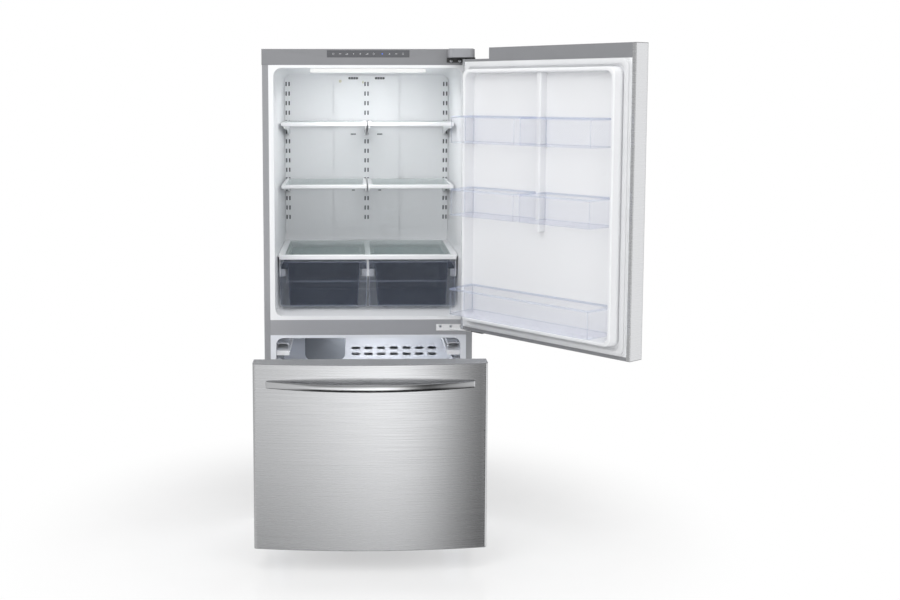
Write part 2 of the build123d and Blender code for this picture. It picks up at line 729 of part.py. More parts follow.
def back_panel():
    """Steel sheet over the rear insulation, cut away at the machine compartment."""
    wide = HALF - SKIN
    sheet = block((-wide, wide), (BACK - BACK_SHEET, BACK), (BASE_TOP, HEIGHT - SKIN))
    return sheet - block((-MACHINE_HALF, MACHINE_HALF), (BACK - 5, BACK + 5), (BASE_TOP - 1, MACHINE_TOP))


def mullion_rail():
    """Grey steel cross rail between the two compartments, folded in above and below."""
    height = (MULLION_LOW, MULLION_HIGH)
    face = block((-LIP_X, LIP_X), (FRONT, FRONT + LINER), height)
    return face + block((-MACHINE_HALF, MACHINE_HALF), (FRONT, at(TOP_CAP_DEPTH)), height)


# ---------------------------------------------------------------- hinges
def hinge_arm(x0, z, thick):
    """Flat arm, from the cabinet's face to a rounded end about the hinge axis."""
    arm = block((x0, HALF), (HINGE_Y, FRONT), (z, z + thick))
    nose = Pos(HINGE_X, HINGE_Y, z) * post(HINGE_INSET, thick)
    left = x0 - 1
    corners = [(left, HINGE_Y - 1), (HINGE_X - HINGE_INSET, HINGE_Y - 1), (left, FRONT - HINGE_NOSE_RUN)]
    return arm + nose - prism_z(corners, z - 1, z + thick + 1)


def middle_hinge_bracket():
    """Plate screwed to the cross rail, an arm in the gap between the doors and an upright pin."""
    plate_x = (BRACKET_X, HALF - SKIN)
    plate = block(plate_x, (FRONT - HINGE_PLATE, FRONT), (BRACKET_LOW, BRACKET_LOW + BRACKET_TALL))
    arm = hinge_arm(BRACKET_X + BRACKET_ARM_IN, ARM_Z, HINGE_PLATE)
    pin = Pos(HINGE_X, HINGE_Y, ARM_Z) * post(PIN_R, DOOR_LOW + PIN_REACH - ARM_Z)
    return plate + arm + pin


def top_hinge_plate():
    """Arm over the door's notch, a tab on the cabinet's front and a pin that points down."""
    arm = hinge_arm(TOP_PLATE_X, TOP_PLATE_Z, TOP_PLATE_THICK)
    tab = block((TOP_PLATE_X, HALF), (FRONT - HINGE_PLATE, FRONT), (TOP_TAB_Z, TOP_PLATE_Z))
    pin = Pos(HINGE_X, HINGE_Y, TOP_PLATE_Z - TOP_PIN_LONG) * post(PIN_R, TOP_PIN_LONG)
    return arm + tab + pin


def top_hinge_cover():
    """Light grey moulded cap over the top hinge."""
    low = TOP_PLATE_Z + TOP_PLATE_THICK
    x = (TOP_PLATE_X + TOP_COVER_IN, HALF - TOP_COVER_EDGE)
    body = block(x, (FRONT - TOP_COVER_AHEAD, FRONT), (low, HEIGHT))
    body = fillet(body.edges().filter_by(Axis.Z).group_by(Axis.Y)[0], TOP_COVER_R)
    return fillet(body.faces().sort_by(Axis.Z)[-1].edges(), TOP_COVER_ROUND)


def hinge_screws():
    """Round heads on the cross rail's bracket and on the top hinge's tab."""
    places = [(BRACKET_X + along, BRACKET_LOW + BRACKET_SCREW_LIFT) for along in BRACKET_SCREWS]
    places += [(TOP_PLATE_X + along, (TOP_TAB_Z + TOP_PLATE_Z) / 2) for along in TOP_SCREWS]
    head = Rot(90, 0, 0) * post(SCREW_HEAD_R, SCREW_HEAD_HIGH)
    return [Pos(x, FRONT - HINGE_PLATE, z) * head for x, z in places]


# ---------------------------------------------------------------- fridge fittings
def wall_x(depth):
    """Half width of the fridge's inside at a depth."""
    return FRIDGE_HALF - FRIDGE_DRAFT * depth / FRIDGE_DEEP


def ceiling_z(depth):
    """Height of the fridge's ceiling at a depth."""
    return FRIDGE_HIGH - CEILING_DROP * depth / FRIDGE_DEEP


def air_duct_panel():
    """Proud centre panel on the rear wall, with air outlets."""
    wall = at(FRIDGE_DEEP)
    high = ceiling_z(FRIDGE_DEEP) - LINER_BACK_R
    panel = slab((-DUCT_HALF, DUCT_HALF), (COVER_TOP + 1, high), DUCT_R, (wall - DUCT_THICK, wall))
    cut_y = (wall - DUCT_THICK - 1, wall - DUCT_THICK + OUTLET_DEEP)
    for drop, long, tall in OUTLETS:
        for x in (-OUTLET_X, OUTLET_X):
            panel -= slot((x, long), (FRIDGE_HIGH - drop, tall), cut_y)
    return panel


def slot_places():
    """Centres of the ladder's slots, from the top down."""
    low, high = LADDER_Z
    count = int((high - low) // SLOT_PITCH)
    return [high - SLOT_PITCH * (i + 0.5) for i in range(count)]


def ladder(middle, seat):
    """Upright rail with two columns of slots."""
    body = block(around(middle, LADDER_WIDE), (seat - LADDER_THICK, seat), LADDER_Z)
    cut_y = (seat - LADDER_THICK - 1, seat - SLOT_FLOOR)
    cuts = [
        block(around(middle + side * SLOT_COLUMN, SLOT_W), cut_y, around(z, SLOT_H))
        for side in (-1, 1)
        for z in slot_places()
    ]
    return body - cuts


def ladder_tracks():
    """The two rails beside the rear corners and the one on the duct panel."""
    wall = at(FRIDGE_DEEP)
    side = ladder(LADDER_X, wall) & fridge_cavity()
    return side, mirrored(side), ladder(0.0, wall - DUCT_THICK)


def lamp_lens():
    """Frosted ceiling lens with a bowed front and rear edge, pressed against the ceiling."""
    y0, y1 = at(LAMP_D[0]), at(LAMP_D[1])
    side = LAMP_HALF
    edge = [
        Line((-side, y0 + LAMP_BULGE), (-side, y1 - LAMP_BULGE)),
        ThreePointArc((-side, y1 - LAMP_BULGE), (0, y1), (side, y1 - LAMP_BULGE)),
        Line((side, y1 - LAMP_BULGE), (side, y0 + LAMP_BULGE)),
        ThreePointArc((side, y0 + LAMP_BULGE), (0, y0), (-side, y0 + LAMP_BULGE)),
    ]
    low = ceiling_z(LAMP_D[1]) - LAMP_THICK
    body = extrude(Pos(0, 0, low) * make_face(edge), LAMP_THICK + CEILING_DROP)
    more = 5
    points = [
        (y0 - more, low - more),
        (y1 + more, low - more),
        (y1 + more, ceiling_z(LAMP_D[1] + more) - LAMP_FIT),
        (y0 - more, ceiling_z(LAMP_D[0] - more) - LAMP_FIT),
    ]
    return body & prism_x(points, -side - 1, side + 1)


def shelf_y():
    """Front and rear edge of the half shelves."""
    return at(SHELF_FRONT_D), at(FRIDGE_DEEP - DUCT_THICK - LADDER_THICK) - SHELF_REAR_GAP


def hook_z(top):
    """The slot whose height suits a shelf's rear hooks."""
    wanted = top - ARM_REAR_DROP + HOOK_HIGH
    return min(slot_places(), key=lambda z: abs(z - wanted))


def shelf_frame(top):
    """Right-hand half shelf: a moulded rim round the pane, on two hooked arms."""
    x0, x1 = SHELF_GAP / 2, SHELF_HALF
    y0, y1 = shelf_y()
    rim = block((x0, x1), (y0, y1), (top - SHELF_TRIM, top))
    rim = fillet(rim.edges().filter_by(Axis.Z).group_by(Axis.Y)[0], SHELF_CORNER_R)
    front = rim.faces().sort_by(Axis.Y)[0]
    rim = fillet(front.edges().filter_by(Axis.X), TRIM_ROUND)
    hole_x = (x0 + SHELF_RAIL, x1 - SHELF_RAIL)
    hole_y = (y0 + SHELF_RAIL, y1 - SHELF_RAIL)
    bed = block(hole_x, hole_y, (top - GLASS - GLASS_CLEAR, top + 1))
    through = block(
        (hole_x[0] + GLASS_LEDGE, hole_x[1] - GLASS_LEDGE),
        (hole_y[0] + GLASS_LEDGE, hole_y[1] - GLASS_LEDGE),
        (top - SHELF_TRIM - 1, top + 1),
    )
    centre = shelf_arm(top, SLOT_COLUMN, at(FRIDGE_DEEP - DUCT_THICK))
    side = shelf_arm(top, LADDER_X - SLOT_COLUMN, at(FRIDGE_DEEP))
    return rim - bed - through + centre + side


def shelf_arm(top, middle, seat):
    """Arm under the rim, hollowed along its lower edge; its hook goes into the ladder."""
    hook_mid = hook_z(top)
    y0 = at(SHELF_FRONT_D) + ARM_SETBACK
    y1 = seat - LADDER_THICK - ARM_REAR_GAP
    tip = seat - SLOT_FLOOR - ARM_REAR_GAP
    root = top - SHELF_TRIM + 1
    front_low = top - SHELF_TRIM - ARM_FRONT_DROP
    hook_low = hook_mid - HOOK_HIGH / 2
    hook_high = hook_mid + HOOK_HIGH / 2
    heel = hook_low - ARM_HEEL
    belly = ((y0 + y1) / 2, (front_low + heel) / 2 + ARM_HOLLOW)
    edge = [
        Polyline((y0, root), (y0, front_low)),
        ThreePointArc((y0, front_low), belly, (y1, heel)),
        Polyline(
            (y1, heel), (y1, hook_low), (tip, hook_low), (tip, hook_high - HOOK_SLOPE), (y1, hook_high),
            (y1, root), (y0, root),
        ),
    ]
    half = ARM_THICK / 2
    return extrude(Plane.YZ.offset(middle - half) * make_face(edge), ARM_THICK)


def shelf_pane(top):
    """Glass in the right-hand half shelf."""
    y0, y1 = shelf_y()
    edge = SHELF_RAIL + GLASS_CLEAR
    x = (SHELF_GAP / 2 + edge, SHELF_HALF - edge)
    return block(x, (y0 + edge, y1 - edge), (top - GLASS - GLASS_CLEAR, top - GLASS_CLEAR))


# ---------------------------------------------------------------- crispers
def crisper_cover_frame():
    """Rim round the cover's pane, with a middle T-rail and two side rails that hang from it."""
    y0, y1 = at(COVER_D[0]), at(COVER_D[1])
    low = COVER_TOP - COVER_THICK
    rim = block((-COVER_HALF, COVER_HALF), (y0, y1), (low, COVER_TOP))
    rim = fillet(rim.edges().filter_by(Axis.Z).group_by(Axis.Y)[-1], COVER_REAR_R)
    rim = fillet(rim.edges().filter_by(Axis.X).group_by(Axis.Y)[0], TRIM_ROUND)
    seat_x = COVER_HALF - COVER_RAIL
    seat_z = COVER_TOP - GLASS - GLASS_CLEAR
    rim -= block((-seat_x, seat_x), (y0 + COVER_RAIL, y1 - COVER_RAIL), (seat_z, COVER_TOP + 1))
    inner = COVER_RAIL + GLASS_LEDGE
    window = block((COVER_SPINE, COVER_HALF - inner), (y0 + inner, y1 - inner), (low - 1, COVER_TOP + 1))
    rim = rim - window - mirrored(window)

    foot_top = RUNNER_Z - RUN_CLEAR
    foot_low = foot_top - RUNNER_THICK
    rails_y = (at(RAIL_START), y1 - RAIL_END)
    tab_y = (rails_y[0], rails_y[0] + RAIL_TAB[0])
    tab_z = (foot_low - RAIL_TAB[1], foot_low)
    foot_half = RAIL_WEB + RAIL_FOOT
    tee = block((-RAIL_WEB, RAIL_WEB), rails_y, (foot_low, low))
    tee += block((-foot_half, foot_half), rails_y, (foot_low, foot_top))
    tee += block((-foot_half, foot_half), tab_y, tab_z)
    side = block((COVER_HALF - RAIL_WEB, COVER_HALF), rails_y, (foot_low, low))
    side += block((COVER_HALF - foot_half, COVER_HALF), rails_y, (foot_low, foot_top))
    side += block((COVER_HALF - foot_half, COVER_HALF), tab_y, tab_z)
    tongue_x = (COVER_HALF - COVER_TONGUE, wall_x(COVER_D[1]) - RUN_CLEAR)
    side += block(tongue_x, tongue_y(), (COVER_TOP - COVER_TONGUE, COVER_TOP))
    return rim + tee + side + mirrored(side)


def crisper_cover_glass():
    """Pane over both crispers."""
    edge = COVER_RAIL + GLASS_CLEAR
    wide = COVER_HALF - edge
    y = (at(COVER_D[0]) + edge, at(COVER_D[1]) - edge)
    return block((-wide, wide), y, (COVER_TOP - GLASS - GLASS_CLEAR, COVER_TOP - GLASS_CLEAR))


def open_tub(x, y, z, wall, radius, draft, front_draft=None):
    """Open-topped tub whose walls lean in towards its floor."""
    front_draft = draft if front_draft is None else front_draft

    def section(grow, height, share):
        left = x[0] + grow + draft * share
        right = x[1] - grow - draft * share
        front = y[0] + grow + front_draft * share
        rear = y[1] - grow - draft * share
        middle = ((left + right) / 2, (front + rear) / 2, height)
        return Pos(*middle) * RectangleRounded(right - left, rear - front, radius)

    outside = loft([section(0, z[0], 1), section(0, z[1], 0)])
    inside = loft([section(wall, z[0] + wall, 1), section(wall, z[1] + 1, 0)])
    return outside - inside


def crisper():
    """Right-hand tub with runner flanges and a wider front plate, edged by a raised bead."""
    x0, x1 = CRISPER_X
    y0, y1 = at(CRISPER_D[0]), at(CRISPER_D[1])
    z0, z1 = CRISPER_Z
    tub_x = (x0 + CRISPER_INSET, x1 - CRISPER_INSET)
    tub = open_tub(tub_x, (y0, y1), CRISPER_Z, CRISPER_WALL, CRISPER_R, CRISPER_DRAFT, 0.0)
    plate_y = (y0, y0 + CRISPER_FRONT)
    plate = slab(CRISPER_X, CRISPER_Z, CRISPER_FRONT_R, plate_y)
    bead_y = (y0 - CRISPER_BEAD_OUT, y0 + 1)
    edge = CRISPER_BEAD
    field = slab((x0 + edge, x1 - edge), (z0 + edge, z1 - edge), CRISPER_FRONT_R - edge, (y0 - 5, y0 + 5))
    bead = slab(CRISPER_X, CRISPER_Z, CRISPER_FRONT_R, bead_y) - field
    grip = block((x0 + edge, x1 - edge), bead_y, around(z1 - CRISPER_GRIP, edge))
    wings_y = (at(RAIL_START) + FLANGE_INSET[0], y1 - FLANGE_INSET[1])
    wings = block((x0 + 1, x1 - 1), wings_y, (RUNNER_Z, RUNNER_Z + RUNNER_THICK))
    wings -= block((tub_x[0] + CRISPER_WALL, tub_x[1] - CRISPER_WALL), wings_y, (z0, z1))
    return tub + plate + bead + grip + wings


# ---------------------------------------------------------------- freezer fittings
def evaporator_cover():
    """Rear panel with two rows of air slots over the coil."""
    y0 = at(EVAP_COVER_D)
    half = FREEZER_HALF - RUN_CLEAR
    low = STEP_Z + RUN_CLEAR
    back = y0 + EVAP_COVER_THICK
    panel = block((-half, half), (y0, back), (low, FREEZER_HIGH - FREEZER_R))
    panel += block((-half, half), (y0, y0 + EVAP_FLANGE), (low, low + EVAP_COVER_THICK))
    first = VENT_LEFT + VENT_LONG / 2
    last = FREEZER_HALF - VENT_MARGIN - VENT_LONG / 2
    pitch = (last - first) / (VENT_PER_ROW - 1)
    for drop in VENT_DROPS:
        for i in range(VENT_PER_ROW):
            z = (FREEZER_HIGH - drop, VENT_HIGH)
            panel -= slot((first + pitch * i, VENT_LONG), z, (y0 - 1, back + 1))
    return panel


def serpentine(runs, pitch, long, radius):
    """Tube that runs back and forth along X and climbs along Z, about the origin."""
    half = long / 2
    points = [(-half - TUBE_LEAD, 0)]
    for i in range(runs):
        side = 1 if i % 2 == 0 else -1
        points.append((side * half, i * pitch))
        points.append((side * half, (i + 1) * pitch))
    path = Plane.XZ * FilletPolyline(*points[:-1], radius=pitch / 2 - 0.1)
    return sweep(Plane(path @ 0, z_dir=path % 0) * Circle(radius), path)


def evaporator_coil():
    """Finned pack, open in combs at its front, with the tube's bends at both ends."""
    half = FREEZER_HALF - EVAP_FIN_MARGIN
    y1 = at(FREEZER_DEEP - EVAP_FIN_BACK)
    y0 = y1 - EVAP_FIN_DEEP
    spine = y1 - EVAP_FIN_SPINE
    pitch = 2 * half / EVAP_FINS
    comb = [(half, y1), (-half, y1)]
    for i in range(EVAP_FINS):
        x = -half + pitch * i
        comb += [(x, y0), (x + FIN_SHEET, y0), (x + FIN_SHEET, spine), (x + pitch, spine)]
    pack = prism_z(comb, *EVAP_FIN_Z)
    tube = serpentine(COIL_RUNS, COIL_PITCH, 2 * (half + COIL_OVER), COIL_TUBE_R)
    tube_place = Pos(0, y1 - EVAP_FIN_SPINE / 2, EVAP_FIN_Z[0] + COIL_START)
    feet = block((-COIL_FOOT_HALF, COIL_FOOT_HALF), (y1, at(FREEZER_DEEP)), COIL_FOOT_Z)
    return pack + tube_place * tube + feet


def blade_section(chord, camber):
    """Cambered section of a fan blade, pointed at both edges."""
    half = chord / 2
    over = ThreePointArc((-half, 0), (0, camber + FAN_BLADE_THICK / 2), (half, 0))
    under = ThreePointArc((half, 0), (0, camber - FAN_BLADE_THICK / 2), (-half, 0))
    return make_face([over, under])


def fan_blade():
    """Axial fan about +Z: a domed hub with pitched blades that widen towards their tips."""
    hub = Cylinder(FAN_HUB_R, FAN_HUB_LONG)
    hub = fillet(hub.edges().sort_by(Axis.Z)[-1], FAN_HUB_ROUND)
    root = Plane((FAN_HUB_R - FAN_ROOT_SINK, 0, 0), x_dir=(0, 1, 0), z_dir=(1, 0, 0))
    tip = root.offset(FAN_TIP_R - FAN_HUB_R + FAN_ROOT_SINK)
    root_face = root * Rot(0, 0, FAN_PITCH + FAN_TWIST) * blade_section(FAN_ROOT_CHORD, FAN_CAMBER)
    tip_face = tip * Rot(0, 0, FAN_PITCH) * blade_section(FAN_CHORD, FAN_CAMBER)
    blade = loft([root_face, tip_face], ruled=True)
    for i in range(FAN_BLADES):
        hub += Rot(0, 0, 360 / FAN_BLADES * i) * blade
    return hub - Pos(0, 0, -FAN_HUB_LONG / 2) * Cylinder(FAN_SHAFT_R + PIN_CLEAR, 2 * FAN_SHAFT_LONG)


def fan_motor(reach, arms):
    """Can about +Z with its shaft up, on two arms that reach back to their seat."""
    can = Pos(0, 0, -FAN_MOTOR_LONG / 2) * Cylinder(FAN_MOTOR_R, FAN_MOTOR_LONG)
    can = fillet(can.edges().sort_by(Axis.Z)[-1], FAN_MOTOR_ROUND)
    tall = FAN_ARM_TALL
    seat = -FAN_MOTOR_LONG - reach
    arm = block((-arms, arms), (-tall, tall), (seat, -FAN_MOTOR_LONG + FAN_ARM_LAP))
    gap = block((-arms + tall, arms - tall), (-tall - 1, tall + 1), (seat - 1, -FAN_MOTOR_LONG))
    return can + post(FAN_SHAFT_R, FAN_SHAFT_LONG) + (arm - gap)


def to_freezer_fan(shape):
    """Fan axis towards the viewer, behind the evaporator's cover."""
    return Pos(FREEZER_FAN_X, at(FREEZER_FAN_D), FREEZER_FAN_Z) * Rot(90, 0, 0) * shape


def to_machine_fan(shape):
    """Fan axis along +X, between the compressor and the condenser."""
    return Pos(MACHINE_FAN_X, at(MACHINE_FAN_D), MACHINE_FAN_Z) * Rot(0, 90, 0) * shape


def freezer_fan_motor():
    """Evaporator fan's motor, on two arms from the rear wall."""
    reach = FREEZER_FAN_BACK - FAN_BEHIND - FAN_MOTOR_LONG
    return to_freezer_fan(Pos(0, 0, -FAN_BEHIND) * fan_motor(reach, FREEZER_FAN_ARM))


def machine_fan_motor():
    """Condenser fan's motor on an upright sheet bracket."""
    motor = to_machine_fan(Pos(0, 0, -FAN_BEHIND) * fan_motor(FAN_BRACKET, MACHINE_FAN_ARM))
    seat = MACHINE_FAN_X - FAN_BEHIND - FAN_MOTOR_LONG - FAN_BRACKET
    y = around(at(MACHINE_FAN_D), 2 * FAN_BRACKET_HALF)
    return motor + block((seat - FAN_BRACKET, seat), y, (PAN_Z, MACHINE_FAN_Z + FAN_BRACKET_RISE))


def ice_maker():
    """White rear bracket of the ice maker, screwed to the freezer's ceiling, and its mould."""
    x0, x1 = ICE_X
    y0, y1 = at(ICE_D[0]), at(ICE_D[1])
    top = ICE_Z[1] - ICE_TRAY_WALL
    base_x = (x0 + ICE_BASE_INSET, x1 - ICE_BASE_INSET)
    base = block(base_x, (y0 + ICE_BASE_SETBACK, y1), (top, FREEZER_HIGH))
    tray_x = (x0 + ICE_TRAY_INSET, x1 - ICE_TRAY_INSET)
    tray_y = (y0 + ICE_TRAY_SETBACK[0], y1 - ICE_TRAY_SETBACK[1])
    low = ICE_Z[0] + ICE_TRAY_LIFT
    wall = ICE_TRAY_WALL
    tray = block(tray_x, tray_y, (low, top))
    hollow_x = (tray_x[0] + wall, tray_x[1] - wall)
    hollow_y = (tray_y[0] + wall, tray_y[1] - wall)
    return base + tray - block(hollow_x, hollow_y, (low + wall, top - 2 * wall))


def ice_maker_cover():
    """Smoked cover with rounded lower corners, open at its top and rear."""
    y0, y1 = at(ICE_D[0]), at(ICE_D[1])

    def shell(grow, y):
        x0, x1 = ICE_X[0] + grow, ICE_X[1] - grow
        low, top = ICE_Z[0] + grow, ICE_Z[1] + grow
        face = outline([(x0, top), (x0, low), (x1, low), (x1, top)])
        face = fillet(face.vertices().group_by(Axis.Y)[0], ICE_R - grow)
        plane = Plane((0, y[0], 0), x_dir=(1, 0, 0), z_dir=(0, -1, 0))
        return extrude(plane * face, y[0] - y[1])

    return shell(0, (y0, y1)) - shell(ICE_WALL, (y0 + ICE_WALL, y1 + 1))


def tray_ledges():
    """White moulded ledges and slide covers on the freezer's side walls."""
    y0, y1 = at(LEDGE_D[0]), at(LEDGE_D[1])
    sheet = LEDGE_SHEET
    wall = FREEZER_HALF
    x0 = wall - LEDGE_WIDE
    high = FREEZER_HIGH - LEDGE_DROP
    ledge = block((x0, wall), (y0, y1), (high - sheet, high))
    ledge += block((x0, x0 + sheet), (y0, y1), (high - LEDGE_TALL, high))
    x0 = wall - SLIDE_COVER_WIDE
    low = SLIDE_Z + SLIDE_COVER_LIFT
    high = low + SLIDE_COVER_TALL
    front = at(SLIDE_D[0])
    cover = block((x0, wall), (front, y1), (high - sheet - 1, high))
    cover += block((x0, x0 + sheet), (front, y1), (low, high))
    cover += block((x0, wall), (front, front + sheet), (low, high))
    return *both(ledge), *both(cover)


def channel(far, half):
    """C-section of a slide, along Y: its web away from the wall and its lips towards it."""
    y = (at(SLIDE_D[0]), at(SLIDE_D[1]))
    near = far - SLIDE_WIDE
    body = block((near, far), y, around(SLIDE_Z, 2 * half))
    inside = (near - 1, far - SLIDE_SHEET)
    return body - block(inside, (y[0] - 1, y[1] + 1), around(SLIDE_Z, 2 * (half - SLIDE_SHEET)))


def slide_place(member):
    """Wall side and half height of a slide member; each one runs inside the one before."""
    far = FREEZER_HALF - member * (SLIDE_SHEET + SLIDE_PLAY)
    return far, SLIDE_HALF - member * (SLIDE_SHEET + RUN_CLEAR)


def slide_inner():
    """Innermost channel, with the folded arm that holds the basket and the tray."""
    far, half = slide_place(2)
    near = far - SLIDE_WIDE
    sheet = DRAWER_ARM_SHEET
    y = (at(SLIDE_D[0]), at(BASKET_D[1] + ARM_PAST))
    x = DRAWER_ARM_X
    rest = BASKET_Z[1]
    web = block((x, x + sheet), y, (rest - sheet, ARM_TOP))
    shelf = block((x, near), y, (ARM_TOP - sheet, ARM_TOP))
    drop = block((near - sheet, near), y, (SLIDE_Z - half, ARM_TOP))
    foot = block((x - ARM_REST, x + sheet), y, (rest - sheet, rest))
    tab = block((x, x + sheet), (INNER, at(SLIDE_D[0])), (rest - sheet, ARM_TOP))
    pad = block((x - ARM_REST, x + sheet), (INNER, INNER + sheet), (rest - sheet - ARM_PAD, ARM_TOP))
    return channel(far, half) + web + shelf + drop + foot + tab + pad


def freezer_basket():
    """Deep white basket with a rim that hangs on the drawer's arms."""
    y0, y1 = at(BASKET_D[0]), at(BASKET_D[1])
    top = BASKET_Z[1] + BASKET_RIM
    wide = BASKET_HALF - BASKET_RIM
    tub = open_tub((-wide, wide), (y0, y1), (BASKET_Z[0], top), BASKET_WALL, BASKET_R, BASKET_DRAFT)
    rest = BASKET_Z[1] + RUN_CLEAR
    rim_x = DRAWER_ARM_X - DRAWER_ARM_SHEET
    edge = BASKET_RIM - 1
    hole_x = wide - edge
    rim = block((-rim_x, rim_x), (y0, y1), (rest, top))
    return tub + (rim - block((-hole_x, hole_x), (y0 + edge, y1 - edge), (rest - 1, top + 1)))


def freezer_upper_tray():
    """Shallow tray over the front of the basket; its side flanges slide on the drawer's arms."""
    y0, y1 = at(TRAY_D[0]), at(TRAY_D[1])
    tub = open_tub((-TRAY_HALF, TRAY_HALF), (y0, y1), TRAY_Z, TRAY_WALL, TRAY_R, TRAY_DRAFT)
    rest = ARM_TOP + RUN_CLEAR
    side_x = (TRAY_HALF - TRAY_WALL - 1, DRAWER_ARM_X + ARM_REST)
    side_y = (y0 + TRAY_FLANGE_INSET, y1 - TRAY_FLANGE_INSET)
    side = block(side_x, side_y, (rest, rest + TRAY_FLANGE))
    return tub + side + mirrored(side)


# ---------------------------------------------------------------- doors
def face_y(x, inset=0.0):
    """Y of the bowed front, or of a surface inset behind it."""
    return BOW_CENTRE - math.sqrt((BOW_R - inset) ** 2 - x**2)


def door_plan(inset, rear):
    """A door seen from above, inset from its front and edges; rear is the depth left off behind."""
    half = HALF - inset
    corner = face_y(half, inset)
    back = INNER - rear
    edge = [
        ThreePointArc((-half, corner), (0, face_y(0, inset)), (half, corner)),
        Polyline((half, corner), (half, back), (-half, back), (-half, corner)),
    ]
    face = make_face(edge)
    front_corners = face.vertices().filter_by_position(Axis.Y, corner - 1, corner + 1)
    face = fillet(front_corners, DOOR_FRONT_R - inset)
    rear_corners = face.vertices().filter_by_position(Axis.Y, back - 0.5, back + 0.5)
    return fillet(rear_corners, DOOR_REAR_R - min(inset, 2 * DOOR_SKIN))


def door_solid(inset, rear, z):
    """A door's plan, extruded between two heights."""
    return extrude(Pos(0, 0, z[0]) * door_plan(inset, rear), z[1] - z[0])


def door_skin(low, high):
    """Brushed steel folded round the front and both edges, with narrow returns behind."""
    z = (low + CAP_LIP, high - CAP_LIP)
    behind = block((-RETURN_X, RETURN_X), (INNER - DOOR_SKIN - 1, INNER + 1), (low, high))
    return door_solid(0.0, 0.0, z) - door_solid(DOOR_SKIN, DOOR_SKIN, (low, high)) - behind


def door_cap(low, high, lip):
    """End moulding inside the skin, with a thin edge that covers the skin's cut end."""
    body = door_solid(DOOR_SKIN, DOOR_SKIN, (low, high))
    body += block((-RETURN_X, RETURN_X), (INNER - DOOR_SKIN, INNER), (low, high))
    return body + door_solid(0.0, 0.0, lip)


def notch():
    """Room for the top hinge in the door's upper corner."""
    more = 5
    y = (INNER - NOTCH_LONG, INNER + more)
    return block((HALF - NOTCH_LONG, HALF + more), y, (DOOR_HIGH - NOTCH_TALL, DOOR_HIGH + more))


def pin_hole(low, high):
    """Bore for a hinge pin between two heights."""
    return Pos(HINGE_X, HINGE_Y, low) * post(PIN_R + PIN_CLEAR, high - low)


def fridge_door_caps():
    """Grey end mouldings of the fridge door, bored for the hinge pins."""
    low = DOOR_HIGH - DOOR_TOP_CAP
    top = door_cap(low, DOOR_HIGH, (DOOR_HIGH - CAP_LIP, DOOR_HIGH)) - notch()
    high = DOOR_LOW + DOOR_BOTTOM_CAP
    bottom = door_cap(DOOR_LOW, high, (DOOR_LOW, DOOR_LOW + CAP_LIP))
    return top - pin_hole(low, DOOR_HIGH), bottom - pin_hole(DOOR_LOW, high)


def drawer_caps():
    """Grey end mouldings of the drawer's front."""
    top = door_cap(DRAWER_HIGH - DRAWER_TOP_CAP, DRAWER_HIGH, (DRAWER_HIGH - CAP_LIP, DRAWER_HIGH))
    bottom = door_cap(DRAWER_LOW, DRAWER_LOW + DRAWER_BOTTOM_CAP, (DRAWER_LOW, DRAWER_LOW + CAP_LIP))
    return top, bottom


def inner_sheet(low, high):
    """Moulded inner sheet of a door, between its two end mouldings."""
    return block((-RETURN_X, RETURN_X), (INNER - LINER, INNER), (low, high))


def door_seal(z, inner_z):
    """Magnetic gasket: a flat foot and a narrower raised bead."""
    foot_top = INNER + SEAL_BASE
    inner = SEAL_HALF - SEAL_BAND
    inner_r = SEAL_R - CORNER_STEP
    foot = slab((-SEAL_HALF, SEAL_HALF), z, SEAL_R, (INNER, foot_top))
    foot -= slab((-inner, inner), inner_z, inner_r, (INNER - 1, foot_top + 1))
    side = (SEAL_BAND - SEAL_BEAD) / 2
    lean = SEAL_INSET
    rise = (foot_top, FRONT - SEAL_CLEAR)
    bead_x = SEAL_HALF - side
    bead = slab((-bead_x, bead_x), (z[0] + lean, z[1] - lean), SEAL_R - lean, rise)
    hole_x = inner + side
    hole_z = (inner_z[0] - lean, inner_z[1] + lean)
    return foot + (bead - slab((-hole_x, hole_x), hole_z, inner_r, (rise[0] - 1, rise[1] + 1)))


def dike(inset, lean):
    """The door liner's raised rim: a rounded block that leans in by lean towards its crest."""
    def section(more, y):
        wide = DIKE_HALF - more
        return pane((-wide, wide), (DIKE_LOW_Z + more, DIKE_TOP_Z - more), DIKE_R, y)

    return loft([section(inset, INNER - BITE), section(inset + lean, INNER + DIKE_HIGH)])


def bin_levels():
    """Every bin as (low z, x limits); the first spans the whole door."""
    wall = DIKE_HALF - DIKE_WALL - BIN_CLEAR
    levels = [(BIN_BOTTOM_Z, (-wall, wall))]
    for z in BIN_PAIR_Z:
        levels.append((z, (-wall, RIB_X[0] - BIN_CLEAR)))
        levels.append((z, (RIB_X[1] + BIN_CLEAR, wall)))
    return levels


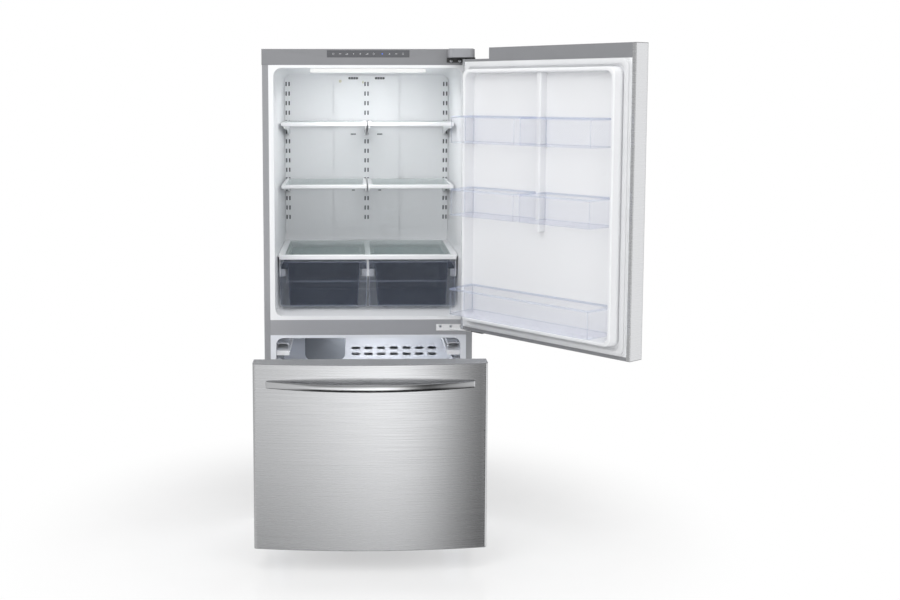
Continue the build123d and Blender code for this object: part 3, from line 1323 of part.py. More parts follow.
def fridge_door_liner():
    """White inner moulding: a sheet, a raised rim round the bins, an upright rib and the bins' ledges."""
    sheet = inner_sheet(DOOR_LOW + DOOR_BOTTOM_CAP, DOOR_HIGH - DOOR_TOP_CAP)
    room = block((-HALF, HALF), (INNER, INNER + 2 * DIKE_HIGH), (DIKE_LOW_Z, DIKE_TOP_Z))
    rim = dike(0.0, DIKE_TAPER) - (dike(DIKE_WALL, -DIKE_TAPER) & room)
    rim = fillet(rim.faces().sort_by(Axis.Y)[-1].edges(), DIKE_ROUND)
    foot = INNER - BITE
    rib = block(RIB_X, (foot, INNER + RIB_STANDS), (RIB_LOW, DIKE_TOP_Z - DIKE_WALL + 1))
    rib = fillet(rib.edges().filter_by(Axis.Z).group_by(Axis.Y)[-1], RIB_ROUND)
    body = sheet + rim + rib
    for z, limits in bin_levels():
        height = (z - BIN_CLEAR - BIN_LEDGE_THICK, z - BIN_CLEAR)
        for x, sign in zip(limits, (1, -1)):
            at_rib = abs(x) < -RIB_X[0] + DIKE_WALL
            reach = RIB_STANDS - LEDGE_SHORT[0] if at_rib else DIKE_HIGH - LEDGE_SHORT[1]
            span = sorted((x - sign * BIN_LEDGE_ROOT, x + sign * BIN_LEDGE_IN))
            body += block(span, (foot, INNER + reach), height)
    return body


def door_bin(z, limits):
    """Clear bin with a thicker rim, slanted at the corner nearest the hinge."""
    x0, x1 = limits
    y0 = INNER + BIN_CLEAR
    y1 = INNER + BIN_DEEP
    cut = BIN_SLANT if x1 > DIKE_WALL else 0.0
    corners = [(x0, y0), (x1, y0), (x1, y0 + BIN_SLANT_D), (x1 - cut, y1), (x0, y1)]
    if not cut:
        corners.pop(2)
    plan = outline(corners)

    def plan_inset(inset):
        face = offset(plan, -inset) if inset else plan
        return fillet(face.vertices().group_by(Axis.Y)[-1], BIN_R - inset)

    body = extrude(Pos(0, 0, z) * plan_inset(0.0), BIN_HEIGHT)
    body -= extrude(Pos(0, 0, z + BIN_WALL) * plan_inset(BIN_WALL), BIN_HEIGHT)
    rim = plan_inset(0.0) - plan_inset(BIN_RIM_WALL)
    return body + extrude(Pos(0, 0, z + BIN_HEIGHT - BIN_RIM_TALL) * rim, BIN_RIM_TALL)


def door_stop():
    """Black stop under the fridge door, beside the hinge."""
    x = (HALF - STOP_X[0], HALF - STOP_X[1])
    y = (INNER - STOP_DEEP[0], INNER - STOP_DEEP[1])
    return block(x, y, (DOOR_LOW - STOP_TALL, DOOR_LOW))


def freezer_handle():
    """Level bowed handle with rounded edges: it meets the drawer's face at both ends."""
    half = HANDLE_HALF
    near_end = half - HANDLE_END
    end = face_y(half)
    tip = end - HANDLE_THICK
    foot = end - HANDLE_SINK
    out = face_y(0) - HANDLE_STAND
    edge = [
        ThreePointArc((-half, tip), (0, out - HANDLE_THICK), (half, tip)),
        Polyline((half, tip), (half, end + 1), (near_end, foot)),
        ThreePointArc((near_end, foot), (0, out), (-near_end, foot)),
        Polyline((-near_end, foot), (-half, end + 1), (-half, tip)),
    ]
    tall = HANDLE_TALL
    bar = extrude(Pos(0, 0, -tall / 2) * make_face(edge), tall)
    bar = fillet(bar.edges().filter_by(GeomType.CIRCLE), HANDLE_R)
    return Pos(0, 0, HANDLE_Z) * (bar - door_solid(0.0, 0.0, (-tall, tall)))


def fridge_handle():
    """Upright bowed bar near the door's free edge, on two posts."""
    low, high = DOOR_HANDLE_Z
    face = face_y(DOOR_HANDLE_X)
    middle = (low + high) / 2
    thick = HANDLE_THICK
    tip = face - DOOR_HANDLE_TIP
    heel = tip + thick
    out = face - HANDLE_STAND - thick
    edge = [
        ThreePointArc((tip, low), (out, middle), (tip, high)),
        Line((tip, high), (heel, high)),
        ThreePointArc((heel, high), (out + thick, middle), (heel, low)),
        Line((heel, low), (tip, low)),
    ]
    x = around(DOOR_HANDLE_X, HANDLE_TALL)
    bar = extrude(Plane.YZ.offset(x[0]) * make_face(edge), HANDLE_TALL)
    bar = fillet(bar.edges().filter_by(GeomType.CIRCLE), HANDLE_R)
    for z in (low + POST_HALF, high - POST_HALF):
        bar += block(x, (tip + thick / 2, face_y(x[0]) + HANDLE_SINK), around(z, 2 * POST_HALF))
    return bar - door_solid(0.0, 0.0, (DOOR_LOW, DOOR_HIGH))


# ---------------------------------------------------------------- base and machine compartment
def base_frame():
    """Steel floor with turned-up side flanges, roller brackets and their axles."""
    half = HALF - SKIN
    sheet = 2 * PAN_THICK
    floor = block((-half, half), (at(BASE_FRONT_D), BACK - BASE_BACK), (BASE_Z, PAN_Z))
    flange = block((half - sheet, half), (at(FLANGE_FRONT_D), BACK), (BASE_Z, BASE_TOP))
    floor += flange + mirrored(flange)
    gap = ROLLER_WIDE / 2 + ROLLER_PLAY
    middle = at(ROLLER_D)
    ear_y = around(middle, 2 * EAR_HALF)
    well_y = around(middle, 2 * (ROLLER_R + ROLLER_WELL))
    for x in (-ROLLER_X, ROLLER_X):
        for left in (x - gap - EAR_THICK, x + gap):
            floor += block((left, left + EAR_THICK), ear_y, (ROLLER_R - EAR_DROP, BASE_Z))
        floor += Pos(x, middle, ROLLER_R) * Rot(0, 90, 0) * Cylinder(AXLE_R, 2 * (gap + ROLLER_PLAY))
        floor -= block(around(x, 2 * gap), well_y, (BASE_Z - 1, PAN_Z + 1))
    return floor


def roller(side):
    """Wheel on its axle in the base frame."""
    tyre = Cylinder(ROLLER_R, ROLLER_WIDE)
    tyre = fillet(tyre.edges().filter_by(GeomType.CIRCLE), ROLLER_ROUND)
    tyre -= Cylinder(AXLE_R + PIN_CLEAR, ROLLER_WIDE + 2)
    return Pos(side * ROLLER_X, at(ROLLER_D), ROLLER_R) * Rot(0, 90, 0) * tyre


def levelling_foot():
    """Threaded stem and a wide round pad."""
    pad = post(FOOT_R, FOOT_HIGH)
    pad = chamfer(pad.edges().sort_by(Axis.Z)[-1], FOOT_CHAMFER)
    return Pos(ROLLER_X, at(FOOT_D), 0) * (pad + post(FOOT_STEM_R, BASE_Z))


def toe_grille():
    """Grey plinth with upright air slots, behind and below the drawer's front."""
    x = HALF - SKIN - 2 * PAN_THICK
    y0, y1 = at(GRILLE_D[0]), at(GRILLE_D[1])
    body = block((-x, x), (y0, y1), (BASE_Z - GRILLE_LOW, BASE_TOP))
    first = GRILLE_MARGIN - x
    pitch = -2 * first / GRILLE_SLOTS
    slot_z = (BASE_Z - GRILLE_SLOT[0], BASE_Z + GRILLE_SLOT[1])
    for i in range(GRILLE_SLOTS):
        body -= block(around(first + pitch * (i + 0.5), pitch / 2), (y0 - 1, y1 + 1), slot_z)
    return body


def compressor():
    """Hermetic can: domed top and bottom, a welded seam, rubber-footed base plate."""
    r = COMPRESSOR_R
    tall = COMPRESSOR_HIGH
    low, seat = COMPRESSOR_FEET
    seam = COMPRESSOR_SEAM
    profile = [
        (0, seat),
        (r * 0.72, seat),
        (r, seat + COMPRESSOR_SHOULDER),
        (r, tall * 0.5),
        (r + seam, tall * 0.5),
        (r + seam, tall * 0.5 + seam),
        (r, tall * 0.5 + seam),
        (r * 0.94, tall * 0.8),
        (r * 0.62, tall),
        (0, tall + seam),
    ]
    can = revolve(Plane.XZ * outline(profile), Axis.Z)
    wing, deep = COMPRESSOR_PLATE
    body = can + block((-r - wing, r + wing), (-deep, deep), (low, seat))
    for x in (-r - GROMMET_R + COMPRESSOR_SEAM, r + GROMMET_R - COMPRESSOR_SEAM):
        for y in (-deep + GROMMET_IN, deep - GROMMET_IN):
            body += Pos(x, y, 0) * post(GROMMET_R, low + 2)
    return Pos(COMPRESSOR_X, at(COMPRESSOR_D), PAN_Z) * body


def condenser():
    """Folded tube on two upright straps that stand on the base."""
    tube = serpentine(CONDENSER_RUNS, CONDENSER_PITCH, CONDENSER_LONG, CONDENSER_TUBE_R)
    top = CONDENSER_LIFT + (CONDENSER_RUNS - 1) * CONDENSER_PITCH + STRAP_OVER
    depth = (-STRAP_HALF, STRAP_HALF)
    straps = [block(around(x, STRAP_WIDE), depth, (0, top)) for x in STRAP_X]
    return Pos(CONDENSER_X, at(CONDENSER_D), PAN_Z) * (Pos(0, 0, CONDENSER_LIFT) * tube + straps)


def drain_pan():
    """Shallow evaporation pan behind the condenser."""
    x = (CONDENSER_X + DRAIN_X[0], CONDENSER_X + DRAIN_X[1])
    y = (BACK - DRAIN_D[0], BACK - DRAIN_D[1])
    return open_tub(x, y, (PAN_Z, PAN_Z + DRAIN_TALL), DRAIN_WALL, DRAIN_R, DRAIN_DRAFT)


def machine_cover():
    """Rear cover with louvre slots and the round entry for the mains lead."""
    body = block((-MACHINE_HALF, MACHINE_HALF), (BACK - REAR_COVER, BACK), (BASE_Z, MACHINE_TOP))
    space = (2 * MACHINE_HALF - LOUVRE_MARGIN) / LOUVRE_COLUMNS
    for row in range(LOUVRE_ROWS):
        z = BASE_Z + LOUVRE_LOW + LOUVRE_PITCH * row
        for column in range(LOUVRE_COLUMNS):
            x = LOUVRE_SHIFT + space * (column - (LOUVRE_COLUMNS - 1) / 2)
            body -= block(around(x, LOUVRE_LONG), (BACK - 5, BACK + 1), (z, z + LOUVRE_TALL))
    entry = Pos(GLAND_X, BACK, GLAND_Z) * Rot(90, 0, 0)
    gland = entry * Cylinder(GLAND_R, GLAND_LONG)
    return body + gland - entry * Cylinder(GLAND_BORE_R, GLAND_LONG + 2)


# ---------------------------------------------------------------- build
save("outer_cabinet", outer_cabinet())
save("top_front_cap", top_front_cap())
save("control_panel", control_panel())
save("fridge_liner", fridge_liner())
save("freezer_liner", freezer_liner())
save("side_foam", *both(side_foam()))
save("cross_foam", *cross_foam())
save("back_foam", back_foam())
save("back_panel", back_panel())
save("mullion_rail", mullion_rail())

save("middle_hinge_bracket", middle_hinge_bracket())
save("top_hinge_plate", top_hinge_plate())
save("top_hinge_cover", top_hinge_cover())
save("hinge_screws", *hinge_screws())

save("air_duct_panel", air_duct_panel())
save("ladder_tracks", *ladder_tracks())
save("lamp_lens", lamp_lens())
panes = [crisper_cover_glass()]
for name, top in zip(("upper", "lower"), SHELF_TOP_Z):
    save(f"{name}_shelf_frames", *both(shelf_frame(top)))
    panes += both(shelf_pane(top))
save("shelf_glass", *panes)
save("crisper_cover_frame", crisper_cover_frame())
save("crisper_right", crisper())
save("crisper_left", mirrored(crisper()))

save("evaporator_cover", evaporator_cover())
save("evaporator_coil", evaporator_coil())
save("evaporator_fan_blade", to_freezer_fan(fan_blade()))
save("fan_motors", freezer_fan_motor(), machine_fan_motor())
save("ice_maker", ice_maker())
save("ice_maker_cover", ice_maker_cover())
save("tray_ledges", *tray_ledges())
save("slide_outer_members", *both(channel(*slide_place(0))))

save_drawer("slide_middle_members", *both(channel(*slide_place(1))), share=0.5)
save_drawer("slide_inner_members", *both(slide_inner()))
save_drawer("freezer_basket", freezer_basket())
save_drawer("freezer_upper_tray", freezer_upper_tray())
drawer_core = (DRAWER_LOW + DRAWER_BOTTOM_CAP, DRAWER_HIGH - DRAWER_TOP_CAP)
drawer_seal = (DRAWER_LOW + DRAWER_SEAL_LOW, DRAWER_HIGH - DRAWER_SEAL_HIGH)
drawer_opening = (drawer_seal[0] + DRAWER_SEAL_BANDS[0], drawer_seal[1] - DRAWER_SEAL_BANDS[1])
save_drawer("freezer_door_skin", door_skin(DRAWER_LOW, DRAWER_HIGH))
save_drawer("freezer_door_caps", *drawer_caps())
save_drawer("freezer_door_foam", door_solid(DOOR_SKIN, LINER, drawer_core))
save_drawer("freezer_door_liner", inner_sheet(*drawer_core))
save_drawer("freezer_door_gasket", door_seal(drawer_seal, drawer_opening))
save_drawer("freezer_handle", freezer_handle())

door_core = (DOOR_LOW + DOOR_BOTTOM_CAP, DOOR_HIGH - DOOR_TOP_CAP)
door_gasket = (DOOR_LOW + DOOR_SEAL_LOW, DOOR_HIGH - DOOR_SEAL_HIGH)
door_opening = (DIKE_LOW_Z - DOOR_SEAL_GAPS[0], DIKE_TOP_Z + DOOR_SEAL_GAPS[1])
save_door("fridge_door_skin", door_skin(DOOR_LOW, DOOR_HIGH) - notch())
save_door("fridge_door_caps", *fridge_door_caps())
save_door("fridge_door_foam", door_solid(DOOR_SKIN, LINER, door_core))
save_door("fridge_door_liner", fridge_door_liner())
save_door("fridge_door_gasket", door_seal(door_gasket, door_opening))
save_door("fridge_handle", fridge_handle())
save_door("door_stop", door_stop())
bins = [door_bin(*level) for level in bin_levels()]
save_door("door_bin_bottom", bins[0])
save_door("door_bins_upper", *bins[1:])

save("compressor", compressor())
save("condenser", condenser())
save("condenser_fan_blade", to_machine_fan(fan_blade()))
save("drain_pan", drain_pan())
save("base_frame", base_frame())
save("machine_cover", machine_cover())
save("toe_grille", toe_grille())
save("levelling_feet", *both(levelling_foot()))
save("roller_right", roller(1))
save("roller_left", roller(-1))
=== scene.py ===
"""Dresses the bottom-freezer refrigerator: finishes, fine pieces, studio light and camera."""

import json
import logging
import math
from dataclasses import dataclass
from enum import Enum
from typing import Sequence

import bmesh
import bpy
import numpy as np
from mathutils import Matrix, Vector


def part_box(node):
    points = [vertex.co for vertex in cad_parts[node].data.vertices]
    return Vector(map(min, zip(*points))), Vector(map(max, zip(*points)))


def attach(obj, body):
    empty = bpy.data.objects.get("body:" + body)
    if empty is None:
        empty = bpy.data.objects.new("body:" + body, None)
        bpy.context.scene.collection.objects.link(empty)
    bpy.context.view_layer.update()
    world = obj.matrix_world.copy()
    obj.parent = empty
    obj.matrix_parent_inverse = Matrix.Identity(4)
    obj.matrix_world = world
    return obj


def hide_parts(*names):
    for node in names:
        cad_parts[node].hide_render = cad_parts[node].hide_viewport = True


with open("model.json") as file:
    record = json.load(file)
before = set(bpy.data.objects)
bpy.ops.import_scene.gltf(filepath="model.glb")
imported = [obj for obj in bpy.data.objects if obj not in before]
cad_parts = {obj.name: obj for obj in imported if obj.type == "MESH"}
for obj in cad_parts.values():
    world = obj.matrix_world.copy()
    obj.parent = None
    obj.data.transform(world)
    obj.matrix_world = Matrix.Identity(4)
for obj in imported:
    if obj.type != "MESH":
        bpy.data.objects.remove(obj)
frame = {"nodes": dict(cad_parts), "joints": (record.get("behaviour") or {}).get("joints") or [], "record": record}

LOG = logging.getLogger("refrigerator")
MM = 0.001
Pair = tuple[float, float]
Vec = tuple[float, float, float]
Socket = bpy.types.NodeSocket
BLACK, WHITE = (0.0, 0.0, 0.0), (1.0, 1.0, 1.0)
NOISE_SPAN = (0.3, 0.7)  # most of a noise's values lie between these


# ------------------------------------------------------------------ frame values
def low(node: str) -> np.ndarray:
    """Lowest corner of a CAD node at rest, in metres."""
    return np.array(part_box(node)[0])


def high(node: str) -> np.ndarray:
    """Highest corner of a CAD node at rest, in metres."""
    return np.array(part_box(node)[1])


def joint(name: str) -> dict:
    """The record's joint of that name."""
    return next(j for j in frame["joints"] if j["name"] == name)


def srgb(red: int, green: int, blue: int) -> Vec:
    """Display values from 0 to 255 as linear light.

    Args:
        red: Red display value.
        green: Green display value.
        blue: Blue display value.

    Returns:
        The linear colour.
    """
    value = np.array([red, green, blue]) / 255.0
    linear = np.where(value <= 0.04045, value / 12.92, ((value + 0.055) / 1.055) ** 2.4)
    return tuple(float(v) for v in linear)


HINGE = np.array(joint("fridge_door_hinge")["pos_m"])
DOOR_OPEN = -math.radians(joint("fridge_door_hinge")["range_deg"][0])
DRAWER_OUT = -joint("freezer_drawer_slide")["range_m"][0]
SLOT_OF = {part["node"]: part["material_slot"] for part in frame["record"]["subparts"]}


# ------------------------------------------------------------------ node trees
class Tree:
    """A small builder for shader nodes."""

    def __init__(self, owner: bpy.types.ID, output: str = "ShaderNodeOutputMaterial") -> None:
        """Empty an owner's tree and give it an output.

        Args:
            owner: The material or the world.
            output: Type name of its output node.
        """
        owner.use_nodes = True
        self.tree = owner.node_tree
        self.tree.nodes.clear()
        self.out = self.add(output)

    def add(self, kind: str, **values: object) -> bpy.types.Node:
        """Add a node and set its properties and input defaults.

        Args:
            kind: The node's type name.
            **values: Properties, or inputs by name with spaces as underscores.

        Returns:
            The new node.
        """
        node = self.tree.nodes.new(kind)
        for key, value in values.items():
            if hasattr(node, key):
                setattr(node, key, value)
            else:
                node.inputs[key.replace("_", " ")].default_value = value
        return node

    def link(self, source: Socket, target: Socket) -> None:
        """Join an output socket to an input socket."""
        self.tree.links.new(source, target)

    def surface(self, shader: Socket) -> None:
        """Send a shader to the output."""
        self.link(shader, self.out.inputs["Surface"])

    def object_coordinates(self, scale: Vec = (1, 1, 1), turn: float = 0.0) -> Socket:
        """Object coordinates, turned about Z and then scaled.

        Args:
            scale: Scale along each axis after the turn.
            turn: Turn about Z in radians.

        Returns:
            The mapped vector's socket.
        """
        place = self.add("ShaderNodeTexCoord")
        turned = self.add("ShaderNodeVectorRotate", rotation_type="Z_AXIS", Angle=turn)
        self.link(place.outputs["Object"], turned.inputs["Vector"])
        mapping = self.add("ShaderNodeMapping", Scale=scale)
        self.link(turned.outputs["Vector"], mapping.inputs["Vector"])
        return mapping.outputs["Vector"]

    def noise(self, vector: Socket, scale: float, detail: float) -> Socket:
        """Noise over a vector.

        Args:
            vector: The coordinates.
            scale: The noise's scale.
            detail: Its octaves.

        Returns:
            The noise's factor socket.
        """
        node = self.add("ShaderNodeTexNoise", Scale=scale, Detail=detail, Roughness=0.55)
        self.link(vector, node.inputs["Vector"])
        return node.outputs["Fac"]

    def ramp(self, factor: Socket, stops: Sequence[tuple[float, Vec]]) -> Socket:
        """Colours along a factor.

        Args:
            factor: Value that picks the colour.
            stops: Place and colour of each stop.

        Returns:
            The colour socket.
        """
        node = self.add("ShaderNodeValToRGB")
        elements = node.color_ramp.elements
        while len(elements) < len(stops):
            elements.new(0.5)
        for element, (place, colour) in zip(elements, stops):
            element.position = place
            element.color = (*colour, 1.0)
        self.link(factor, node.inputs["Fac"])
        return node.outputs["Color"]

    def shades(self, factor: Socket, first: Vec, last: Vec, span: Pair = NOISE_SPAN) -> Socket:
        """Colours between two stops.

        Args:
            factor: Value that picks the colour.
            first: Colour at the span's start.
            last: Colour at the span's end.
            span: Where the two stops lie.

        Returns:
            The colour socket.
        """
        return self.ramp(factor, ((span[0], first), (span[1], last)))

    def map_range(self, value: Socket, to: Pair, span: Pair = NOISE_SPAN, kind: str = "LINEAR") -> Socket:
        """A value taken from one range to another.

        Args:
            value: The value.
            to: The range that it's taken to.
            span: The range that it's taken from.
            kind: Blender's name for the way between.

        Returns:
            The mapped value's socket.
        """
        node = self.add("ShaderNodeMapRange", interpolation_type=kind)
        for name, number in zip(("From Min", "From Max", "To Min", "To Max"), (*span, *to)):
            node.inputs[name].default_value = number
        self.link(value, node.inputs["Value"])
        return node.outputs["Result"]

    def around(self, value: Socket, middle: float, below: float, above: float) -> Socket:
        """A noise's value as a number that strays from a middle by so much below and above."""
        return self.map_range(value, (middle - below, middle + above))

    def bump(self, height: Socket, distance: float, strength: float) -> Socket:
        """A bumped normal.

        Args:
            height: The height's socket.
            distance: The height's size in metres.
            strength: How strongly it shows.

        Returns:
            The normal socket.
        """
        node = self.add("ShaderNodeBump", Strength=strength, Distance=distance)
        self.link(height, node.inputs["Height"])
        return node.outputs["Normal"]

    def principled(self, links: dict[str, Socket], **values: object) -> Socket:
        """A Principled shader.

        Args:
            links: What feeds each linked input, by the input's name.
            **values: Its constants.

        Returns:
            The shader's socket.
        """
        node = self.add("ShaderNodeBsdfPrincipled", **values)
        for name, source in links.items():
            self.link(source, node.inputs[name])
        return node.outputs["BSDF"]

    def mix_shaders(self, factor: Socket, first: Socket, last: Socket) -> Socket:
        """Two shaders mixed.

        Args:
            factor: Share of the last one.
            first: The shader at 0.
            last: The shader at 1.

        Returns:
            The mixed shader's socket.
        """
        node = self.add("ShaderNodeMixShader")
        for source, target in zip((factor, first, last), node.inputs):
            self.link(source, target)
        return node.outputs["Shader"]


def mixed(colour: Vec, other: Vec, share: float) -> Vec:
    """A colour with a share of another one in it."""
    return tuple(a * (1 - share) + b * share for a, b in zip(colour, other))


# ------------------------------------------------------------------ finishes
@dataclass(frozen=True)
class Finish:
    """What every finish has: a name and a base colour."""

    name: str
    colour: Vec

    def dress(self, tree: Tree) -> None:
        """Build the finish's nodes in an empty tree."""
        raise NotImplementedError

    def darker(self, share: float) -> Vec:
        """The base colour with a share of black."""
        return mixed(self.colour, BLACK, share)

    def lighter(self, share: float) -> Vec:
        """The base colour with a share of white."""
        return mixed(self.colour, WHITE, share)

    def material(self) -> bpy.types.Material:
        """The finish's material, made once."""
        name = f"{self.name}_finish"
        known = bpy.data.materials.get(name)
        if known:
            return known
        material = bpy.data.materials.new(name)
        self.dress(Tree(material))
        return material


@dataclass(frozen=True)
class Plastic(Finish):
    """Moulded plastic: a faint orange-peel skin and slightly uneven gloss."""

    roughness: float
    grain: float = 0.01 * MM
    grain_scale: float = 1400.0
    mottling: float = 0.012
    glow: float = 0.0
    mottling_scale: float = 9.0
    unevenness: float = 0.015

    def dress(self, tree: Tree) -> None:
        """Build the moulded plastic's nodes."""
        where = tree.object_coordinates()
        broad = tree.noise(where, self.mottling_scale, 2.0)
        fine = tree.noise(where, self.grain_scale, 2.0)
        links = {
            "Base Color": tree.shades(broad, self.darker(self.mottling), self.colour),
            "Roughness": tree.around(broad, self.roughness, self.unevenness, self.unevenness),
            "Normal": tree.bump(fine, self.grain, 0.4),
        }
        glow = {"Emission_Color": (*self.colour, 1.0), "Emission_Strength": self.glow} if self.glow else {}
        tree.surface(tree.principled(links, **glow))


@dataclass(frozen=True)
class PaintedMetal(Finish):
    """Silver-grey coated sheet with fine metal flake and a soft clear coat."""

    roughness: float = 0.42
    metallic: float = 0.55
    flake_scale: float = 2400.0
    flake_dark: float = 0.12
    flake_light: float = 0.06
    flake_gloss: float = 0.06
    flake_span: Pair = (0.35, 0.65)
    ripple_scale: float = 420.0
    ripple: float = 0.02 * MM

    def dress(self, tree: Tree) -> None:
        """Build the coated sheet's nodes."""
        where = tree.object_coordinates()
        flake = tree.noise(where, self.flake_scale, 1.0)
        ripple = tree.noise(where, self.ripple_scale, 2.0)
        links = {
            "Base Color": tree.shades(
                flake, self.darker(self.flake_dark), self.lighter(self.flake_light), self.flake_span
            ),
            "Roughness": tree.around(flake, self.roughness, self.flake_gloss, self.flake_gloss),
            "Normal": tree.bump(ripple, self.ripple, 0.5),
        }
        tree.surface(tree.principled(links, Metallic=self.metallic, Coat_Weight=0.15, Coat_Roughness=0.25))


@dataclass(frozen=True)
class BrushedSteel(Finish):
    """Stainless sheet with long level brush lines, turned to the panel's own width."""

    roughness: float
    turn: float = 0.0
    lines: float = 1.0
    contrast: float = 0.10
    depth: float = 0.03 * MM
    smoother: float = 0.05
    rougher: float = 0.08
    coarse_share: float = 0.4
    anisotropy: float = 0.55
    fine_scale: Vec = (6, 6, 2200)
    coarse_scale: Vec = (2.2, 2.2, 420)

    def dress(self, tree: Tree) -> None:
        """Build the brushed sheet's nodes: noise drawn out along the width, at two scales."""
        both = tree.add("ShaderNodeMix", data_type="FLOAT")
        both.inputs["Factor"].default_value = self.coarse_share
        for scale, octaves, target in ((self.fine_scale, 4.0, "A"), (self.coarse_scale, 3.0, "B")):
            where = tree.object_coordinates(scale, self.turn)
            tree.link(tree.noise(where, 1.0, octaves), both.inputs[target])
        lines = both.outputs["Result"]
        spread = self.contrast * self.lines
        tangent = tree.add("ShaderNodeTangent", direction_type="RADIAL", axis="Z")
        links = {
            "Base Color": tree.shades(lines, self.darker(spread), self.lighter(spread)),
            "Roughness": tree.around(lines, self.roughness, self.smoother, self.rougher),
            "Normal": tree.bump(lines, self.depth, 0.35 * self.lines),
            "Tangent": tangent.outputs["Tangent"],
        }
        tree.surface(
            tree.principled(links, Metallic=1.0, Anisotropic=self.anisotropy, Anisotropic_Rotation=0.25)
        )


@dataclass(frozen=True)
class BareMetal(Finish):
    """Plated, cast or polished metal with slight unevenness."""

    roughness: float
    unevenness: float
    scale: float = 120.0
    depth: float = 0.02 * MM

    def dress(self, tree: Tree) -> None:
        """Build the bare metal's nodes."""
        cloud = tree.noise(tree.object_coordinates(), self.scale, 4.0)
        links = {
            "Base Color": tree.shades(cloud, self.darker(self.unevenness * 2), self.colour),
            "Roughness": tree.around(cloud, self.roughness, self.unevenness, self.unevenness),
            "Normal": tree.bump(cloud, self.depth, 0.3),
        }
        tree.surface(tree.principled(links, Metallic=1.0))


@dataclass(frozen=True)
class ClearPlastic(Finish):
    """Clear polystyrene: mostly see-through, with a cool tint that gathers at grazing edges."""

    edge: Vec
    body: float
    rim: float
    smoke: float = 0.04
    roughness: float = 0.06
    cloud_scale: float = 60.0
    cloudiness: float = 1.15
    haze: float = 0.04

    def dress(self, tree: Tree) -> None:
        """Build the clear plastic's nodes: a see-through share and a glossy share, mixed by facing."""
        cloud = tree.noise(tree.object_coordinates(), self.cloud_scale, 2.0)
        facing = tree.add("ShaderNodeLayerWeight", Blend=0.35).outputs["Facing"]
        share = tree.map_range(facing, (self.body, self.rim), (0.45, 1.0))
        cloudy, clear = (mixed(WHITE, self.colour, self.smoke * more) for more in (self.cloudiness, 1.0))
        through = tree.add("ShaderNodeBsdfTransparent")
        tree.link(tree.shades(cloud, cloudy, clear), through.inputs["Color"])
        links = {
            "Base Color": tree.shades(facing, self.colour, self.edge, (0.15, 0.9)),
            "Roughness": tree.around(cloud, self.roughness, 0.0, self.haze),
        }
        glossy = tree.principled(links, Coat_Weight=0.4, Coat_Roughness=0.05, IOR=1.5)
        tree.surface(tree.mix_shaders(share, through.outputs["BSDF"], glossy))


@dataclass(frozen=True)
class Foam(Finish):
    """Closed-cell insulation: matte and pitted."""

    cell_scale: float = 500.0
    cell_depth: float = 0.4 * MM
    pit_dark: float = 0.15

    def dress(self, tree: Tree) -> None:
        """Build the foam's nodes."""
        cells = tree.add("ShaderNodeTexVoronoi", Scale=self.cell_scale)
        tree.link(tree.object_coordinates(), cells.inputs["Vector"])
        depth = cells.outputs["Distance"]
        links = {
            "Base Color": tree.shades(depth, self.darker(self.pit_dark), self.colour, (0.0, 0.6)),
            "Normal": tree.bump(depth, self.cell_depth, 0.5),
        }
        tree.surface(tree.principled(links, Roughness=0.9))


FREEZER_WHITE = Plastic("freezer_white", srgb(224, 227, 233), 0.32, mottling=0.004)
LINER_WHITE = Plastic("liner_white", srgb(240, 241, 243), 0.30, mottling=0.004)
MOULDED_WHITE = Plastic("moulded_white", srgb(240, 241, 243), 0.32, mottling=0.005)
PALE_MOULDING = Plastic("hinge_cover_grey", srgb(156, 157, 161), 0.38, mottling=0.03)
BLACK_MOULDING = Plastic("black_moulding", srgb(24, 24, 26), 0.5)
SEAL = Plastic("seal_rubber", srgb(226, 227, 229), 0.62, mottling=0.05)
# painted shade: a dark grey for sheets that stand for the shade deep in the rail slots and duct outlets
SLOT_SHADE = Plastic("slot_shade", srgb(96, 98, 102), 0.6)
SENSOR_PLASTIC = Plastic("sensor_plastic", srgb(216, 212, 192), 0.4)
STRIP_MARK = Plastic("strip_mark", srgb(205, 207, 210), 0.4)
BLUE_LAMP = Plastic("blue_lamp", srgb(70, 110, 220), 0.3, glow=0.8)
HINGE_STEEL = PaintedMetal("hinge_steel", srgb(246, 246, 247), 0.30, 0.05)
RAIL_GREY = PaintedMetal("rail_grey", srgb(186, 187, 191))
ZINC = BareMetal("zinc_steel", srgb(214, 216, 220), 0.34, 0.06)
POLISHED = BrushedSteel("polished_bar", srgb(226, 227, 229), 0.16, lines=0.3, anisotropy=0.3)
DRAWER_STEEL = BrushedSteel("drawer_steel", srgb(229, 230, 232), 0.24)
DOOR_STEEL = BrushedSteel("door_steel", srgb(229, 230, 232), 0.24, turn=-DOOR_OPEN)
CLEAR_BIN = ClearPlastic("clear_bin", srgb(232, 234, 242), edge=(0.50, 0.53, 0.78), body=0.015, rim=0.40)
# tinted clear plastic for the bins' real rims and the crisper beads, and for painted highlight lines along clear
# edges and corners
CLEAR_RIM_AND_EDGE_HIGHLIGHT = ClearPlastic("clear_rim_and_edge_highlight", srgb(198, 207, 231), edge=(0.42, 0.50, 0.78), body=0.16, rim=0.62)
CRISPER_CLEAR = ClearPlastic(
    "crisper_clear", srgb(120, 128, 144), edge=(0.40, 0.44, 0.58), body=0.06, rim=0.45, smoke=0.22
)
